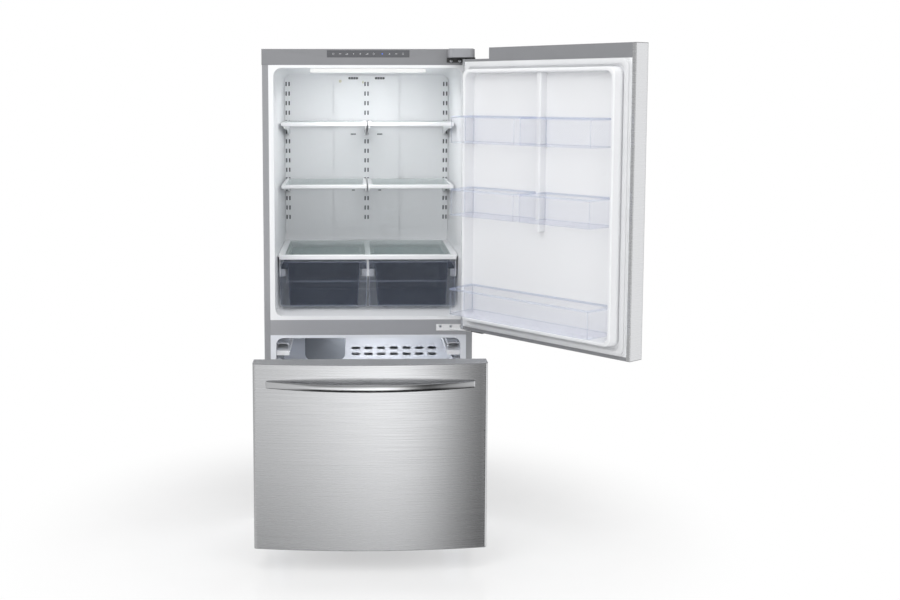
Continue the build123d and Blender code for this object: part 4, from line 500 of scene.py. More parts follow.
NAMED_AS_SLOT: tuple[Finish, ...] = (
    BLACK_MOULDING,
    SEAL,
    ZINC,
    POLISHED,
    CLEAR_BIN,
    Plastic("grey_moulding", srgb(138, 139, 142), 0.42, mottling=0.03),
    Plastic("dark_strip", srgb(92, 93, 97), 0.22),
    Plastic("smoked_cover", srgb(88, 92, 98), 0.42),
    Plastic("wheel_plastic", srgb(52, 52, 54), 0.6),
    Plastic("lamp_diffuser", srgb(250, 250, 248), 0.5, glow=0.35),
    PaintedMetal("cabinet_grey", srgb(172, 173, 177)),
    PaintedMetal("black_steel", srgb(26, 26, 28), 0.4, 0.1),
    BareMetal("galvanised", srgb(176, 180, 184), 0.46, 0.10, 45.0),
    BareMetal("coil_metal", srgb(196, 200, 204), 0.4, 0.08),
    ClearPlastic("shelf_glass", srgb(214, 226, 226), edge=(0.35, 0.55, 0.50), body=0.14, rim=0.4),
    Foam("insulation", srgb(226, 211, 160)),
)
BY_SLOT: dict[str, Finish] = {finish.name: finish for finish in NAMED_AS_SLOT}
BY_SLOT |= {"brushed_front": DRAWER_STEEL, "white_liner": LINER_WHITE, "white_moulding": MOULDED_WHITE}
BY_NODE: dict[str, Finish] = {
    "middle_hinge_bracket": HINGE_STEEL,
    "mullion_rail": RAIL_GREY,
    "freezer_liner": FREEZER_WHITE,
    "evaporator_cover": FREEZER_WHITE,
    "fridge_door_skin": DOOR_STEEL,
    "top_hinge_cover": PALE_MOULDING,
}


def finish_of(node: str) -> Finish:
    """A CAD node's own finish, or else its slot's."""
    return BY_NODE.get(node) or BY_SLOT[SLOT_OF[node]]


# ------------------------------------------------------------------ where pieces ride
class Carrier(Enum):
    """The bodies that fine pieces ride on."""

    CABINET = "cabinet"
    DOOR = "fridge_door"
    DRAWER = "freezer_drawer"
    LEFT_CRISPER = "left_crisper"
    RIGHT_CRISPER = "right_crisper"

    def place(self, points: np.ndarray) -> np.ndarray:
        """Move points drawn with everything shut to where this body is stored.

        Formula: the door's points turn about the upright hinge axis, x' = c x - s y and
        y' = s x + c y about it; the drawer's points move towards the viewer.

        Args:
            points: Places in metres, shape (..., 3).

        Returns:
            The moved places.
        """
        if self is Carrier.DOOR:
            cos, sin = math.cos(DOOR_OPEN), math.sin(DOOR_OPEN)
            turn = np.array([[cos, -sin, 0], [sin, cos, 0], [0, 0, 1]])
            return (points - HINGE) @ turn.T + HINGE
        if self is Carrier.DRAWER:
            return points - np.array([0.0, DRAWER_OUT, 0.0])
        return points


# ------------------------------------------------------------------ curves
SHARPEST = 0.3 * MM  # no corner of an outline gets a smaller radius


@dataclass(frozen=True)
class Outline:
    """A convex polygon with a radius at each corner, given anticlockwise in its own plane."""

    corners: tuple[Pair, ...]
    radii: tuple[float, ...]
    steps: int = 7

    def points(self, inset: float = 0.0) -> np.ndarray:
        """Points round the outline, moved inwards by a distance.

        Formula: each corner slides along its bisector by inset / sin(half angle); the arc
        there is the spherical blend of the two radii that meet the sides at right angles.

        Args:
            inset: Distance inwards; negative goes outwards.

        Returns:
            Places in the plane, shape (corners * steps, 2).
        """
        corner = np.array(self.corners)
        back = np.roll(corner, 1, axis=0) - corner
        ahead = np.roll(corner, -1, axis=0) - corner
        back /= np.linalg.norm(back, axis=1, keepdims=True)
        ahead /= np.linalg.norm(ahead, axis=1, keepdims=True)
        half = 0.5 * np.arccos(np.clip((back * ahead).sum(axis=1), -1, 1))
        inward = back + ahead
        inward /= np.linalg.norm(inward, axis=1, keepdims=True)
        sine = np.sin(half)[:, None]
        corner = corner + inward * inset / sine
        radius = np.maximum(np.array(self.radii) - inset, SHARPEST)[:, None]
        centre = corner + inward * radius / sine
        reach = radius / np.tan(half)[:, None]
        start = corner + back * reach - centre
        end = corner + ahead * reach - centre
        sweep = (np.pi - 2 * half)[:, None, None]
        share = np.linspace(0, 1, self.steps)[None, :, None]
        blend = start[:, None] * np.sin((1 - share) * sweep) + end[:, None] * np.sin(share * sweep)
        return (centre[:, None] + blend / np.sin(sweep)).reshape(-1, 2)


def rectangle(x: Pair, y: Pair, radius: float, steps: int = 7) -> Outline:
    """Rounded rectangle between limits."""
    corners = ((x[0], y[0]), (x[1], y[0]), (x[1], y[1]), (x[0], y[1]))
    return Outline(corners, (radius,) * 4, steps)


def patch(middle: Pair, half: Pair, radius: float, steps: int = 7) -> Outline:
    """Rounded rectangle round its middle."""
    (x, y), (half_x, half_y) = middle, half
    return rectangle((x - half_x, x + half_x), (y - half_y, y + half_y), radius, steps)


def level(loop: np.ndarray, z: float) -> np.ndarray:
    """A plan loop at a height."""
    return np.column_stack((loop[:, 0], loop[:, 1], np.full(len(loop), z)))


def upright(loop: np.ndarray, y: float) -> np.ndarray:
    """A loop of x and z at a depth."""
    return np.column_stack((loop[:, 0], np.full(len(loop), y), loop[:, 1]))


def bow(x: np.ndarray, half: float, end: float, middle: float) -> np.ndarray:
    """Circular arc through (-half, end), (0, middle) and (half, end).

    Formula: with s = middle - end and R = (half^2 + s^2) / 2s, y = middle - R + sqrt(R^2 - x^2),
    the root taking the sign of s.

    Args:
        x: Places along the chord.
        half: Half chord.
        end: Value at both ends.
        middle: Value in the middle.

    Returns:
        The arc's value at each x.
    """
    sagitta = middle - end
    radius = (half**2 + sagitta**2) / (2 * abs(sagitta))
    return middle - math.copysign(1, sagitta) * (radius - np.sqrt(radius**2 - x**2))


def superellipse(
    wide: np.ndarray, deep: np.ndarray, power: float, count: int
) -> tuple[np.ndarray, np.ndarray]:
    """Sections between an ellipse and a rectangle.

    Formula: u = wide |cos t|^(2/p) sign(cos t) and v = deep |sin t|^(2/p) sign(sin t).

    Args:
        wide: Half widths, one for each section.
        deep: Half depths, one for each section.
        power: 2 gives an ellipse, more a squarer form.
        count: Points round each section.

    Returns:
        The two coordinates, each of shape (sections, count).
    """
    turn = np.linspace(0, 2 * np.pi, count, endpoint=False)[None, :]
    cos, sin = np.cos(turn), np.sin(turn)
    across = np.sign(cos) * np.abs(cos) ** (2 / power)
    along = np.sign(sin) * np.abs(sin) ** (2 / power)
    return wide[:, None] * across, deep[:, None] * along


# ------------------------------------------------------------------ meshes
SAME_PLACE = 0.01 * MM  # vertices closer than this are one
FLAT = math.radians(1.0)  # faces that meet at less than this are one
DOME_SIDES = 28
SOFT_ANGLE = 32.0  # degrees; a node's edge is rounded where it's sharper


class Shell:
    """Collects numpy surfaces and makes one piece of them."""

    def __init__(self, name: str, finish: Finish, carrier: Carrier) -> None:
        """Start an empty shell.

        Args:
            name: The piece's name.
            finish: Its finish.
            carrier: What it rides on.
        """
        self.name = name
        self.finish = finish
        self.carrier = carrier
        self.places: list[np.ndarray] = []
        self.faces: list[list[int]] = []
        self.count = 0

    def grid(self, points: np.ndarray, wrap_rows: bool = False, wrap_columns: bool = False) -> None:
        """Add a surface of four-sided faces over a grid of points.

        Args:
            points: Places, shape (rows, columns, 3).
            wrap_rows: Join the last row to the first.
            wrap_columns: Join the last column to the first.
        """
        rows, columns = points.shape[:2]
        index = self.count + np.arange(rows * columns).reshape(rows, columns)
        if wrap_rows:
            index = np.vstack((index, index[:1]))
        if wrap_columns:
            index = np.hstack((index, index[:, :1]))
        quads = np.stack((index[:-1, :-1], index[:-1, 1:], index[1:, 1:], index[1:, :-1]), axis=-1)
        self.faces += quads.reshape(-1, 4).tolist()
        self.places.append(points.reshape(-1, 3))
        self.count += rows * columns

    def loft(self, rings: Sequence[np.ndarray], closed: bool = False) -> None:
        """Add a skin through rings of equal counts, with flat ends unless it closes on itself.

        Args:
            rings: Loops of places, each of shape (count, 3).
            closed: Join the last ring to the first.
        """
        points = np.stack(rings)
        first = self.count
        self.grid(points, wrap_rows=closed, wrap_columns=True)
        if not closed:
            count = points.shape[1]
            last = first + (len(rings) - 1) * count
            self.faces.append(list(range(first + count - 1, first - 1, -1)))
            self.faces.append(list(range(last, last + count)))

    def slab(self, outline: Outline, depth: Pair, edge: float, flat: bool = False) -> None:
        """Add a plate with softened edges.

        Args:
            outline: Its outline, of x and z, or of x and y where flat.
            depth: Its two faces, as y, or as z where flat.
            edge: Size of the softened edge.
            flat: Lie level instead of standing across the depth.
        """
        lift = level if flat else upright
        near, far = depth
        steps = (
            (edge, near), (0.3 * edge, near + 0.3 * edge), (0, near + edge),
            (0, far - edge), (0.3 * edge, far - 0.3 * edge), (edge, far),
        )
        self.loft([lift(outline.points(inset), at) for inset, at in steps])

    def build(self, *replaced: str, sharp: float = 35.0) -> None:
        """Make the piece: merged, facing outwards, smooth but for sharp edges, dressed and riding.

        Args:
            *replaced: CAD nodes that the piece stands for.
            sharp: Angle in degrees past which an edge stays sharp.
        """
        mesh = bpy.data.meshes.new(self.name)
        mesh.from_pydata(self.carrier.place(np.vstack(self.places)), [], self.faces)
        shape = bmesh.new()
        shape.from_mesh(mesh)
        bmesh.ops.remove_doubles(shape, verts=shape.verts, dist=SAME_PLACE)
        bmesh.ops.recalc_face_normals(shape, faces=shape.faces)
        shape.to_mesh(mesh)
        shape.free()
        finish_piece(self.name, mesh, self.finish, self.carrier.value, replaced, sharp)


def dome(shell: Shell, centre: Pair, radius: float, depth: Pair, rings: int, fullness: float = 1.0) -> None:
    """A low dome that stands out of an upright face towards the viewer, with a small flat crown.

    Formula: for t from 0 towards a quarter turn, the radius shrinks with cos(t)^fullness and the
    depth goes from the seat to the crown with sin(t).

    Args:
        shell: What it is added to.
        centre: Its middle, as x and z.
        radius: Its radius at the seat.
        depth: Depth of its seat and how far it stands out.
        rings: Steps of the quarter turn.
        fullness: Below 1 it's fuller at the rim.
    """
    turn = np.linspace(0, 2 * np.pi, DOME_SIDES, endpoint=False)
    rise = np.linspace(0, np.pi / 2, rings)[:, None]
    wide = radius * np.cos(rise) ** fullness
    (x, z), (seat, out) = centre, depth
    away = np.broadcast_to(seat - out * np.sin(rise), (rings, DOME_SIDES))
    places = np.stack((x + wide * np.cos(turn), away, z + wide * np.sin(turn)), axis=-1)
    shell.loft(list(places[:-1]))


def finish_piece(
    name: str, mesh: bpy.types.Mesh, finish: Finish, body: str, replaced: Sequence[str], sharp: float
) -> bpy.types.Object:
    """Shade, dress and place a mesh as a piece of a body.

    Args:
        name: The piece's name.
        mesh: Its mesh, in place.
        finish: Its finish.
        body: What it rides on.
        replaced: CAD nodes that it stands for.
        sharp: Angle in degrees past which an edge stays sharp.

    Returns:
        The new object.
    """
    mesh.polygons.foreach_set("use_smooth", np.ones(len(mesh.polygons), dtype=bool))
    mesh.set_sharp_from_angle(angle=math.radians(sharp))
    mesh.materials.append(finish.material())
    piece = bpy.data.objects.new(name, mesh)
    bpy.context.scene.collection.objects.link(piece)
    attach(piece, body)
    for node in replaced:
        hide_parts(node)
    LOG.info("%s: %d faces on %s", name, len(mesh.polygons), body)
    return piece


def body_of(node: str) -> str:
    """The body that a CAD node rides on."""
    return next(body for body, nodes in frame["record"]["behaviour"]["bodies"].items() if node in nodes)


def softened(node: str, width: float) -> None:
    """A merged copy of a CAD node with narrow rounded edges, in the node's finish.

    Args:
        node: The CAD node it replaces.
        width: Size of the rounding in metres.
    """
    mesh = bpy.data.meshes.new(f"{node}_soft")
    shape = bmesh.new()
    shape.from_mesh(frame["nodes"][node].data)
    bmesh.ops.remove_doubles(shape, verts=shape.verts, dist=2 * SAME_PLACE)
    bmesh.ops.dissolve_limit(shape, angle_limit=FLAT, verts=shape.verts, edges=shape.edges)
    shape.to_mesh(mesh)
    shape.free()
    piece = finish_piece(f"{node}_soft", mesh, finish_of(node), body_of(node), (node,), SOFT_ANGLE)
    bevel = piece.modifiers.new("edge", "BEVEL")
    bevel.width = width
    bevel.segments = 2
    bevel.limit_method = "ANGLE"
    bevel.angle_limit = math.radians(SOFT_ANGLE)
    bevel.harden_normals = True
    bevel.miter_outer = "MITER_ARC"


# ------------------------------------------------------------------ doors
@dataclass
class BowedFronts:
    """The steel skins of the fridge door and of the drawer, bowed outwards."""

    half: float = high("freezer_door_skin")[0]
    bow: float = 30 * MM
    corner: float = 66 * MM
    front_radius: float = 10 * MM
    rear_radius: float = 3 * MM
    sheet: float = 1 * MM
    fold: float = 14 * MM
    inner: float = high("freezer_door_skin")[1] + DRAWER_OUT
    notch: Pair = (130 * MM, 38 * MM)
    lip: float = 2 * MM
    rim: float = 0.4 * MM

    def face(self, x: np.ndarray) -> np.ndarray:
        """Depth of the bowed face at each x: a circular arc between the upright edges."""
        return bow(x, self.half, self.inner - self.corner, self.inner - self.corner - self.bow)

    def plan(self, inset: float) -> np.ndarray:
        """The skin's line seen from above, from one fold behind to the other.

        Formula: a quarter arc behind each edge, a straight side, a quarter arc in front of it
        and the bow between them, every point moved inwards by the inset.

        Args:
            inset: Distance behind the outer face.

        Returns:
            Places of shape (count, 2), from the left fold round the front to the right one.
        """
        half = self.half - inset
        back = self.inner - inset
        turn = np.linspace(0, np.pi / 2, 7)
        rear = self.rear_radius - inset
        front = self.front_radius - inset
        tangent = self.face(np.array([self.half - self.front_radius]))[0]
        sine, cosine = np.sin(turn), np.cos(turn)
        left_rear = np.column_stack((-half + rear - rear * sine, back - rear + rear * cosine))
        left_front = np.column_stack((-half + front - front * cosine, tangent + front - front * sine + inset))
        x = np.linspace(-self.half + self.front_radius, self.half - self.front_radius, 61)[1:-1]
        x = np.sort(np.append(x, self.half - self.notch[0]))
        front_line = np.column_stack((x, self.face(x) + inset))
        left = np.vstack(([[-self.half + self.fold, back]], left_rear, left_front))
        right = left[::-1] * np.array([-1, 1])
        return np.vstack((left, front_line, right))

    def sheet_loop(self, first: int, last: int) -> np.ndarray:
        """A closed loop down the outer line and back up the inner one, between two of its points."""
        outer, inner = self.plan(0.0), self.plan(self.sheet)
        return np.vstack((outer[first:last], inner[first:last][::-1]))

    def skin(self, node: str, carrier: Carrier, finish: Finish, notched: bool) -> None:
        """One folded steel skin.

        Args:
            node: The CAD node that it stands for.
            carrier: Its body.
            finish: Its finish.
            notched: Leave the upper right corner open for the hinge.
        """
        bottom, top = low(node)[2], high(node)[2]
        shell = Shell(f"{node}_sheet", finish, carrier)
        whole = self.sheet_loop(0, len(self.plan(0.0)))
        if notched:
            shoulder = top + self.lip - self.notch[1]
            split = int(np.argmin(np.abs(self.plan(0.0)[:, 0] - (self.half - self.notch[0])))) + 1
            shell.loft([level(whole, z) for z in (bottom, bottom + self.rim, shoulder)])
            part = self.sheet_loop(0, split)
            shell.loft([level(part, z) for z in (shoulder, top - self.rim, top)])
        else:
            shell.loft([level(whole, z) for z in (bottom, bottom + self.rim, top - self.rim, top)])
        shell.build(node)

    def build(self) -> None:
        """Both skins."""
        self.skin("freezer_door_skin", Carrier.DRAWER, DRAWER_STEEL, notched=False)
        self.skin("fridge_door_skin", Carrier.DOOR, DOOR_STEEL, notched=True)


@dataclass
class Handles:
    """The drawer's level bar and the door's upright bar, both bowed and rounded."""

    fronts: BowedFronts
    half: float = high("freezer_handle")[0]
    bar_z: float = (low("freezer_handle")[2] + high("freezer_handle")[2]) / 2
    tall: float = high("freezer_handle")[2] - low("freezer_handle")[2]
    thick: float = 12 * MM
    stand: float = 43 * MM
    end_run: float = 14 * MM
    door_x: float = -316 * MM
    door_tip: float = 14 * MM
    post_half: float = 12 * MM
    post_power: float = 4.0
    post_sides: int = 32
    flare: float = 1 * MM
    power: float = 2.8
    sides: int = 36
    end_draw: float = 0.10
    end_reach: float = 0.6 * MM
    seat: float = 2 * MM
    sink: float = 3 * MM

    def bar(
        self, shell: Shell, along: np.ndarray, outer: np.ndarray, inner: np.ndarray, upright_bar: bool
    ) -> None:
        """A bar through superellipse sections, its ends drawn in a little.

        Args:
            shell: What it is added to.
            along: Places along the bar.
            outer: Depth of its outer face at each place.
            inner: Depth of its inner face at each place.
            upright_bar: Run along z instead of x.
        """
        to_end = np.minimum(along - along[0], along[-1] - along)
        ends = 1 - self.end_draw * np.exp(-to_end / self.end_reach)
        across, deep = superellipse(self.tall / 2 * ends, (inner - outer) / 2 * ends, self.power, self.sides)
        middle = ((inner + outer) / 2)[:, None]
        along = np.broadcast_to(along[:, None], across.shape)
        if upright_bar:
            points = np.stack((self.door_x + across, middle + deep, along), axis=-1)
        else:
            points = np.stack((along, middle + deep, self.bar_z + across), axis=-1)
        shell.loft(list(points))

    def drawer_bar(self) -> None:
        """The drawer's bar: two arcs give its faces, and its ends run into the steel."""
        end = self.fronts.face(np.array([self.half]))[0]
        out = self.fronts.face(np.zeros(1))[0] - self.stand
        near = self.half - self.end_run
        run = np.linspace(0, self.end_run, 8)
        along = np.concatenate((-self.half + run, np.linspace(-near, near, 81)[1:-1], self.half - run[::-1]))
        outer = bow(along, self.half, end - self.thick, out - self.thick)
        within = np.abs(along) <= near
        inner = np.full_like(along, end)
        inner[within] = bow(along[within], near, end - self.seat, out)
        inner[~within] = end - self.seat + (np.abs(along[~within]) - near) / self.end_run * self.sink
        shell = Shell("drawer_bar", POLISHED, Carrier.DRAWER)
        self.bar(shell, along, outer, inner, upright_bar=False)
        shell.build("freezer_handle")

    def door_bar(self) -> None:
        """The door's bar on two posts that flare towards the steel."""
        bottom, top = low("fridge_handle")[2], high("fridge_handle")[2]
        face = self.fronts.face(np.array([self.door_x]))[0]
        middle, half = (bottom + top) / 2, (top - bottom) / 2
        z = np.linspace(bottom, top, 61)
        tip = face - self.door_tip
        outer = bow(z - middle, half, tip, face - self.stand - self.thick)
        inner = bow(z - middle, half, tip + self.thick, face - self.stand)
        shell = Shell("door_bar", POLISHED, Carrier.DOOR)
        self.bar(shell, z, outer, inner, upright_bar=True)
        left = self.fronts.face(np.array([self.door_x - self.tall / 2]))[0]
        for z_post in (bottom + self.post_half, top - self.post_half):
            depth = np.linspace(tip + self.thick / 2, left + self.flare, 9)
            grow = self.flare * (np.linspace(0, 1, 9) ** 3)
            halves = (half + grow - self.flare for half in (self.tall / 2, self.post_half))
            wide, long = superellipse(*halves, self.post_power, self.post_sides)
            depth = np.broadcast_to(depth[:, None], wide.shape)
            shell.loft(list(np.stack((self.door_x + wide, depth, z_post + long), axis=-1)))
        shell.build("fridge_handle")

    def build(self) -> None:
        """Both handles."""
        self.drawer_bar()
        self.door_bar()


@dataclass
class Gaskets:
    """Magnetic gaskets: a flat foot, a folded neck and a soft bead, carried round the door."""

    half: float = high("freezer_door_gasket")[0]
    radius: float = 22 * MM
    inner_radius: float = radius - 4 * MM
    band: float = 26 * MM
    foot: float = low("freezer_door_gasket")[1] + DRAWER_OUT
    crest: float = high("freezer_door_gasket")[1] + DRAWER_OUT
    door_bands: Pair = (22 * MM, 23 * MM)
    drawer_bands: Pair = (22 * MM, 27 * MM)
    profile: tuple[Pair, ...] = (
        (0.0, 0.0), (0.0, 0.36), (0.03, 0.41), (0.17, 0.42), (0.25, 0.50), (0.21, 0.60), (0.18, 0.72),
        (0.19, 0.90), (0.24, 1.0), (0.50, 0.985), (0.76, 1.0), (0.81, 0.90), (0.82, 0.72), (0.79, 0.60),
        (0.75, 0.50), (0.83, 0.42), (0.97, 0.41), (1.0, 0.36), (1.0, 0.0),
    )

    def gasket(self, node: str, carrier: Carrier, bands: Pair) -> None:
        """One gasket: each profile point runs round a loop between the outer and inner edge.

        Formula: place = outer + share (inner - outer), with the share across the band and the
        depth from the profile.

        Args:
            node: The CAD node that it stands for.
            carrier: Its body.
            bands: Its width below and above.
        """
        bottom, top = low(node)[2], high(node)[2]
        outer = rectangle((-self.half, self.half), (bottom, top), self.radius).points()
        inside = self.half - self.band
        levels = (bottom + bands[0], top - bands[1])
        inner = rectangle((-inside, inside), levels, self.inner_radius).points()
        tall = self.crest - self.foot
        rings = [
            upright(outer + share * (inner - outer), self.foot + rise * tall) for share, rise in self.profile
        ]
        shell = Shell(f"{node}_folded", SEAL, carrier)
        shell.loft(rings, closed=True)
        shell.build(node, sharp=60.0)

    def build(self) -> None:
        """Both gaskets."""
        self.gasket("freezer_door_gasket", Carrier.DRAWER, self.drawer_bands)
        self.gasket("fridge_door_gasket", Carrier.DOOR, self.door_bands)


# ------------------------------------------------------------------ clear containers
def cup(shell: Shell, top: Outline, draft: float, height: Pair, wall: float) -> None:
    """An open container with rounded lips and a rounded bottom edge.

    Formula: loops of the top outline at growing insets come up the outside, and the same
    loops, a wall further in, go down again; the draft adds to the inset towards the floor.

    Args:
        shell: What it is added to.
        top: Outline of its mouth.
        draft: How far the walls lean in at the floor.
        height: Its lowest and highest level.
        wall: Thickness of its wall.
    """
    bottom, mouth = height
    edge = 0.4 * wall
    floor, within = bottom + wall, draft + wall
    rings = (
        (draft + 3 * edge, bottom), (draft + edge, bottom + 0.4 * edge), (draft, bottom + 2 * edge),
        (0, mouth - edge), (0.3 * edge, mouth - 0.3 * edge), (edge, mouth),
        (wall - edge, mouth), (wall - 0.3 * edge, mouth - 0.3 * edge), (wall, mouth - edge),
        (within, floor + 2 * edge), (within + edge, floor + 0.4 * edge), (within + 3 * edge, floor),
    )
    shell.loft([level(top.points(inset), z) for inset, z in rings])


@dataclass
class DoorBins:
    """The bottom bin and two pairs above it: clear cups with a tinted, thicker rim."""

    inner: float = high("freezer_door_skin")[1] + DRAWER_OUT
    rim_half: float = 334 * MM
    rim_wall: float = 15.5 * MM
    fit: float = 0.3 * MM
    deep: float = 136 * MM
    tall: float = 92 * MM
    wall: float = 2.5 * MM
    radius: float = 10 * MM
    door_radius: float = 2 * MM
    slant: Pair = (18 * MM, 42 * MM)
    slant_radius: float = 6 * MM
    rib: Pair = (-17 * MM, 1 * MM)
    bead: Pair = (6 * MM, 4.5 * MM)
    bead_edge: float = 1 * MM
    foot_highlight: tuple[Pair, ...] = (
        (0.3 * MM, 0.7 * MM), (0.7 * MM, 0.3 * MM), (1.9 * MM, 0.3 * MM),
        (1.9 * MM, 1.9 * MM), (0.3 * MM, 1.9 * MM),
    )
    post: float = 0.9 * MM
    post_in: float = 0.8 * MM
    post_foot: float = 2 * MM

    def outline(self, x: Pair) -> Outline:
        """A bin's mouth; the one nearest the hinge is slanted at its front corner."""
        near, far = self.inner + self.fit, self.inner + self.deep
        cut = self.slant[0] if x[1] > self.rim_wall else 0.0
        corners = ((x[0], near), (x[1], near), (x[1], near + self.slant[1]), (x[1] - cut, far), (x[0], far))
        radii = (self.door_radius, self.door_radius, self.slant_radius, self.radius, self.radius)
        if cut == 0.0:
            corners, radii = corners[:2] + corners[3:], radii[:2] + radii[3:]
        return Outline(corners, radii)

    def bin(self, shell: Shell, beads: Shell, x: Pair, z: float) -> None:
        """One bin, the tinted bead along its mouth, and painted highlight lines along its foot and up its corners.

        Args:
            shell: The cups' shell.
            beads: The beads' shell.
            x: Its limits across the door.
            z: Its underside.
        """
        mouth = z + self.tall
        base, inner, edge = mouth - self.bead[0], self.bead[1], self.bead_edge
        outline = self.outline(x)
        cup(shell, outline, 0.0, (z, base), self.wall)
        lip = (
            (0, base), (0, mouth - edge), (edge, mouth),
            (inner - edge, mouth), (inner, mouth - edge), (inner, base),
        )
        beads.loft([level(outline.points(inset), z_at) for inset, z_at in lip], closed=True)
        # painted highlight: a tinted loop inside the bin's lower edge for the light caught there
        beads.loft([level(outline.points(inset), z + rise) for inset, rise in self.foot_highlight], closed=True)
        self.posts(beads, outline, (z + self.post_foot, base))

    def posts(self, beads: Shell, outline: Outline, z: Pair) -> None:
        """A slim tinted line up each corner of a bin, inside its wall: painted highlight where the clear corner
        catches the light.

        Args:
            beads: The beads' shell.
            outline: The bin's mouth.
            z: The lines' lower and upper end.
        """
        middle = np.mean(np.array(outline.corners), axis=0)
        for corner, radius in zip(outline.corners, outline.radii):
            inward = middle - np.array(corner)
            step = radius * (1 - math.sqrt(0.5)) + self.post_in + self.post
            centre = np.array(corner) + np.sign(inward) * step
            beads.slab(patch(centre, (self.post, self.post), 0.3 * MM, 3), z, 0.2 * MM, flat=True)

    def build(self) -> None:
        """All five bins."""
        wall = self.rim_half - self.rim_wall - self.fit
        free, hinge = (-wall, self.rib[0] - self.fit), (self.rib[1] + self.fit, wall)
        lower, upper = low("door_bins_upper")[2], high("door_bins_upper")[2] - self.tall
        beads = Shell("bin_rims_and_edge_highlights", CLEAR_RIM_AND_EDGE_HIGHLIGHT, Carrier.DOOR)
        pairs = Shell("upper_bins", CLEAR_BIN, Carrier.DOOR)
        for z in (lower, upper):
            self.bin(pairs, beads, free, z)
            self.bin(pairs, beads, hinge, z)
        bottom = Shell("bottom_bin", CLEAR_BIN, Carrier.DOOR)
        self.bin(bottom, beads, (-wall, wall), low("door_bin_bottom")[2])
        bottom.build("door_bin_bottom")
        pairs.build("door_bins_upper")
        beads.build()


@dataclass
class Crispers:
    """Two clear drawers: a drafted tub, runner wings and a wider front plate with raised lines."""

    x: Pair = (low("crisper_right")[0], high("crisper_right")[0])
    y: Pair = (low("crisper_right")[1], high("crisper_right")[1])
    z: Pair = (low("crisper_right")[2], high("crisper_right")[2])
    inset: float = 25 * MM
    draft: float = 8 * MM
    wall: float = 2.5 * MM
    plate: float = 3.5 * MM
    bead: Pair = (3 * MM, 2 * MM)
    radius: float = 8 * MM
    tub_radius: float = 14 * MM
    grip: float = 73 * MM
    edge_highlight: Pair = (0.2 * MM, 1.6 * MM)
    edge_highlight_half: float = 1.1 * MM
    edge_highlight_foot: float = 4 * MM
    wing_low: float = 889 * MM
    wing: float = 4 * MM
    wing_ends: float = 12 * MM
    wing_gap: float = 1 * MM

    def mirror(self, pair: Pair, side: int) -> Pair:
        """A pair of limits on the side asked for."""
        return pair if side > 0 else (-pair[1], -pair[0])

    def drawer(self, side: int) -> None:
        """One drawer.

        Args:
            side: 1 for the right one, -1 for the left one.
        """
        carrier = Carrier.RIGHT_CRISPER if side > 0 else Carrier.LEFT_CRISPER
        word = "right" if side > 0 else "left"
        front = self.y[0] + self.bead[1]
        tub_x = self.mirror((self.x[0] + self.inset, self.x[1] - self.inset), side)
        tub = Shell(f"{word}_crisper_tub", CRISPER_CLEAR, carrier)
        self.tub(tub, tub_x, front, side)
        tub.build(f"crisper_{word}")
        outline = rectangle(self.mirror(self.x, side), self.z, self.radius)
        plate = Shell(f"{word}_crisper_front", CRISPER_CLEAR, carrier)
        plate.slab(outline, (front, front + self.plate), 0.8 * MM)
        plate.build()
        lines = Shell(f"{word}_crisper_lines", CLEAR_RIM_AND_EDGE_HIGHLIGHT, carrier)
        self.lines(lines, outline, tub_x, front)
        lines.build()

    def tub(self, shell: Shell, x: Pair, front: float, side: int) -> None:
        """The tub and its two runner wings.

        Args:
            shell: What they are added to.
            x: The tub's limits across.
            front: Depth of the front plate's face.
            side: 1 for the right drawer, -1 for the left one.
        """
        mouth = rectangle(x, (front + self.plate, self.y[1]), self.tub_radius)
        cup(shell, mouth, self.draft, self.z, self.wall)
        wing_y = (self.y[0] + self.wing_ends, self.y[1] - self.wing_ends)
        (left, right), gap = self.x, self.wing_gap
        for wing_x in ((left + gap, left + self.inset), (right - self.inset, right - gap)):
            wing = rectangle(self.mirror(wing_x, side), wing_y, 2 * MM, 3)
            shell.slab(wing, (self.wing_low, self.wing_low + self.wing), 0.6 * MM, flat=True)

    def lines(self, shell: Shell, outline: Outline, tub_x: Pair, front: float) -> None:
        """Raised lines round the plate and along its grip, and painted highlight lines behind it where the tub's
        two side walls are seen edge-on.

        Args:
            shell: What they are added to.
            outline: The front plate's outline.
            tub_x: The tub's limits across.
            front: Depth of the front plate's face.
        """
        bottom, mouth = self.z
        thick, out = self.bead
        loops = (
            (0, front), (0, front - 0.6 * out), (0.3 * thick, front - out),
            (0.7 * thick, front - out), (thick, front - 0.6 * out), (thick, front),
        )
        shell.loft([upright(outline.points(inset), y) for inset, y in loops], closed=True)
        (left, _), (right, _) = outline.corners[:2]
        grip_z = mouth - self.grip
        grip = rectangle((left + thick, right - thick), (grip_z - thick / 2, grip_z + thick / 2), 1.2 * MM, 4)
        shell.slab(grip, (front - out, front), 0.6 * MM)
        # painted highlight: tinted strips behind the plate stand for the light along the tub's clear side edges
        foot, half = bottom + self.edge_highlight_foot, self.edge_highlight_half
        near, far = (front + self.plate + deep for deep in self.edge_highlight)
        for lean, edge_x in ((1, tub_x[0]), (-1, tub_x[1])):
            foot_x, head_x = edge_x + lean * (self.draft + self.wall), edge_x + lean * self.wall
            corners = (
                (foot_x - half, foot), (foot_x + half, foot), (head_x + half, mouth), (head_x - half, mouth),
            )
            edge = Outline(corners, (0.5 * MM,) * 4, 3)
            shell.slab(edge, (near, far), 0.3 * MM)

    def build(self) -> None:
        """Both drawers."""
        self.drawer(1)
        self.drawer(-1)


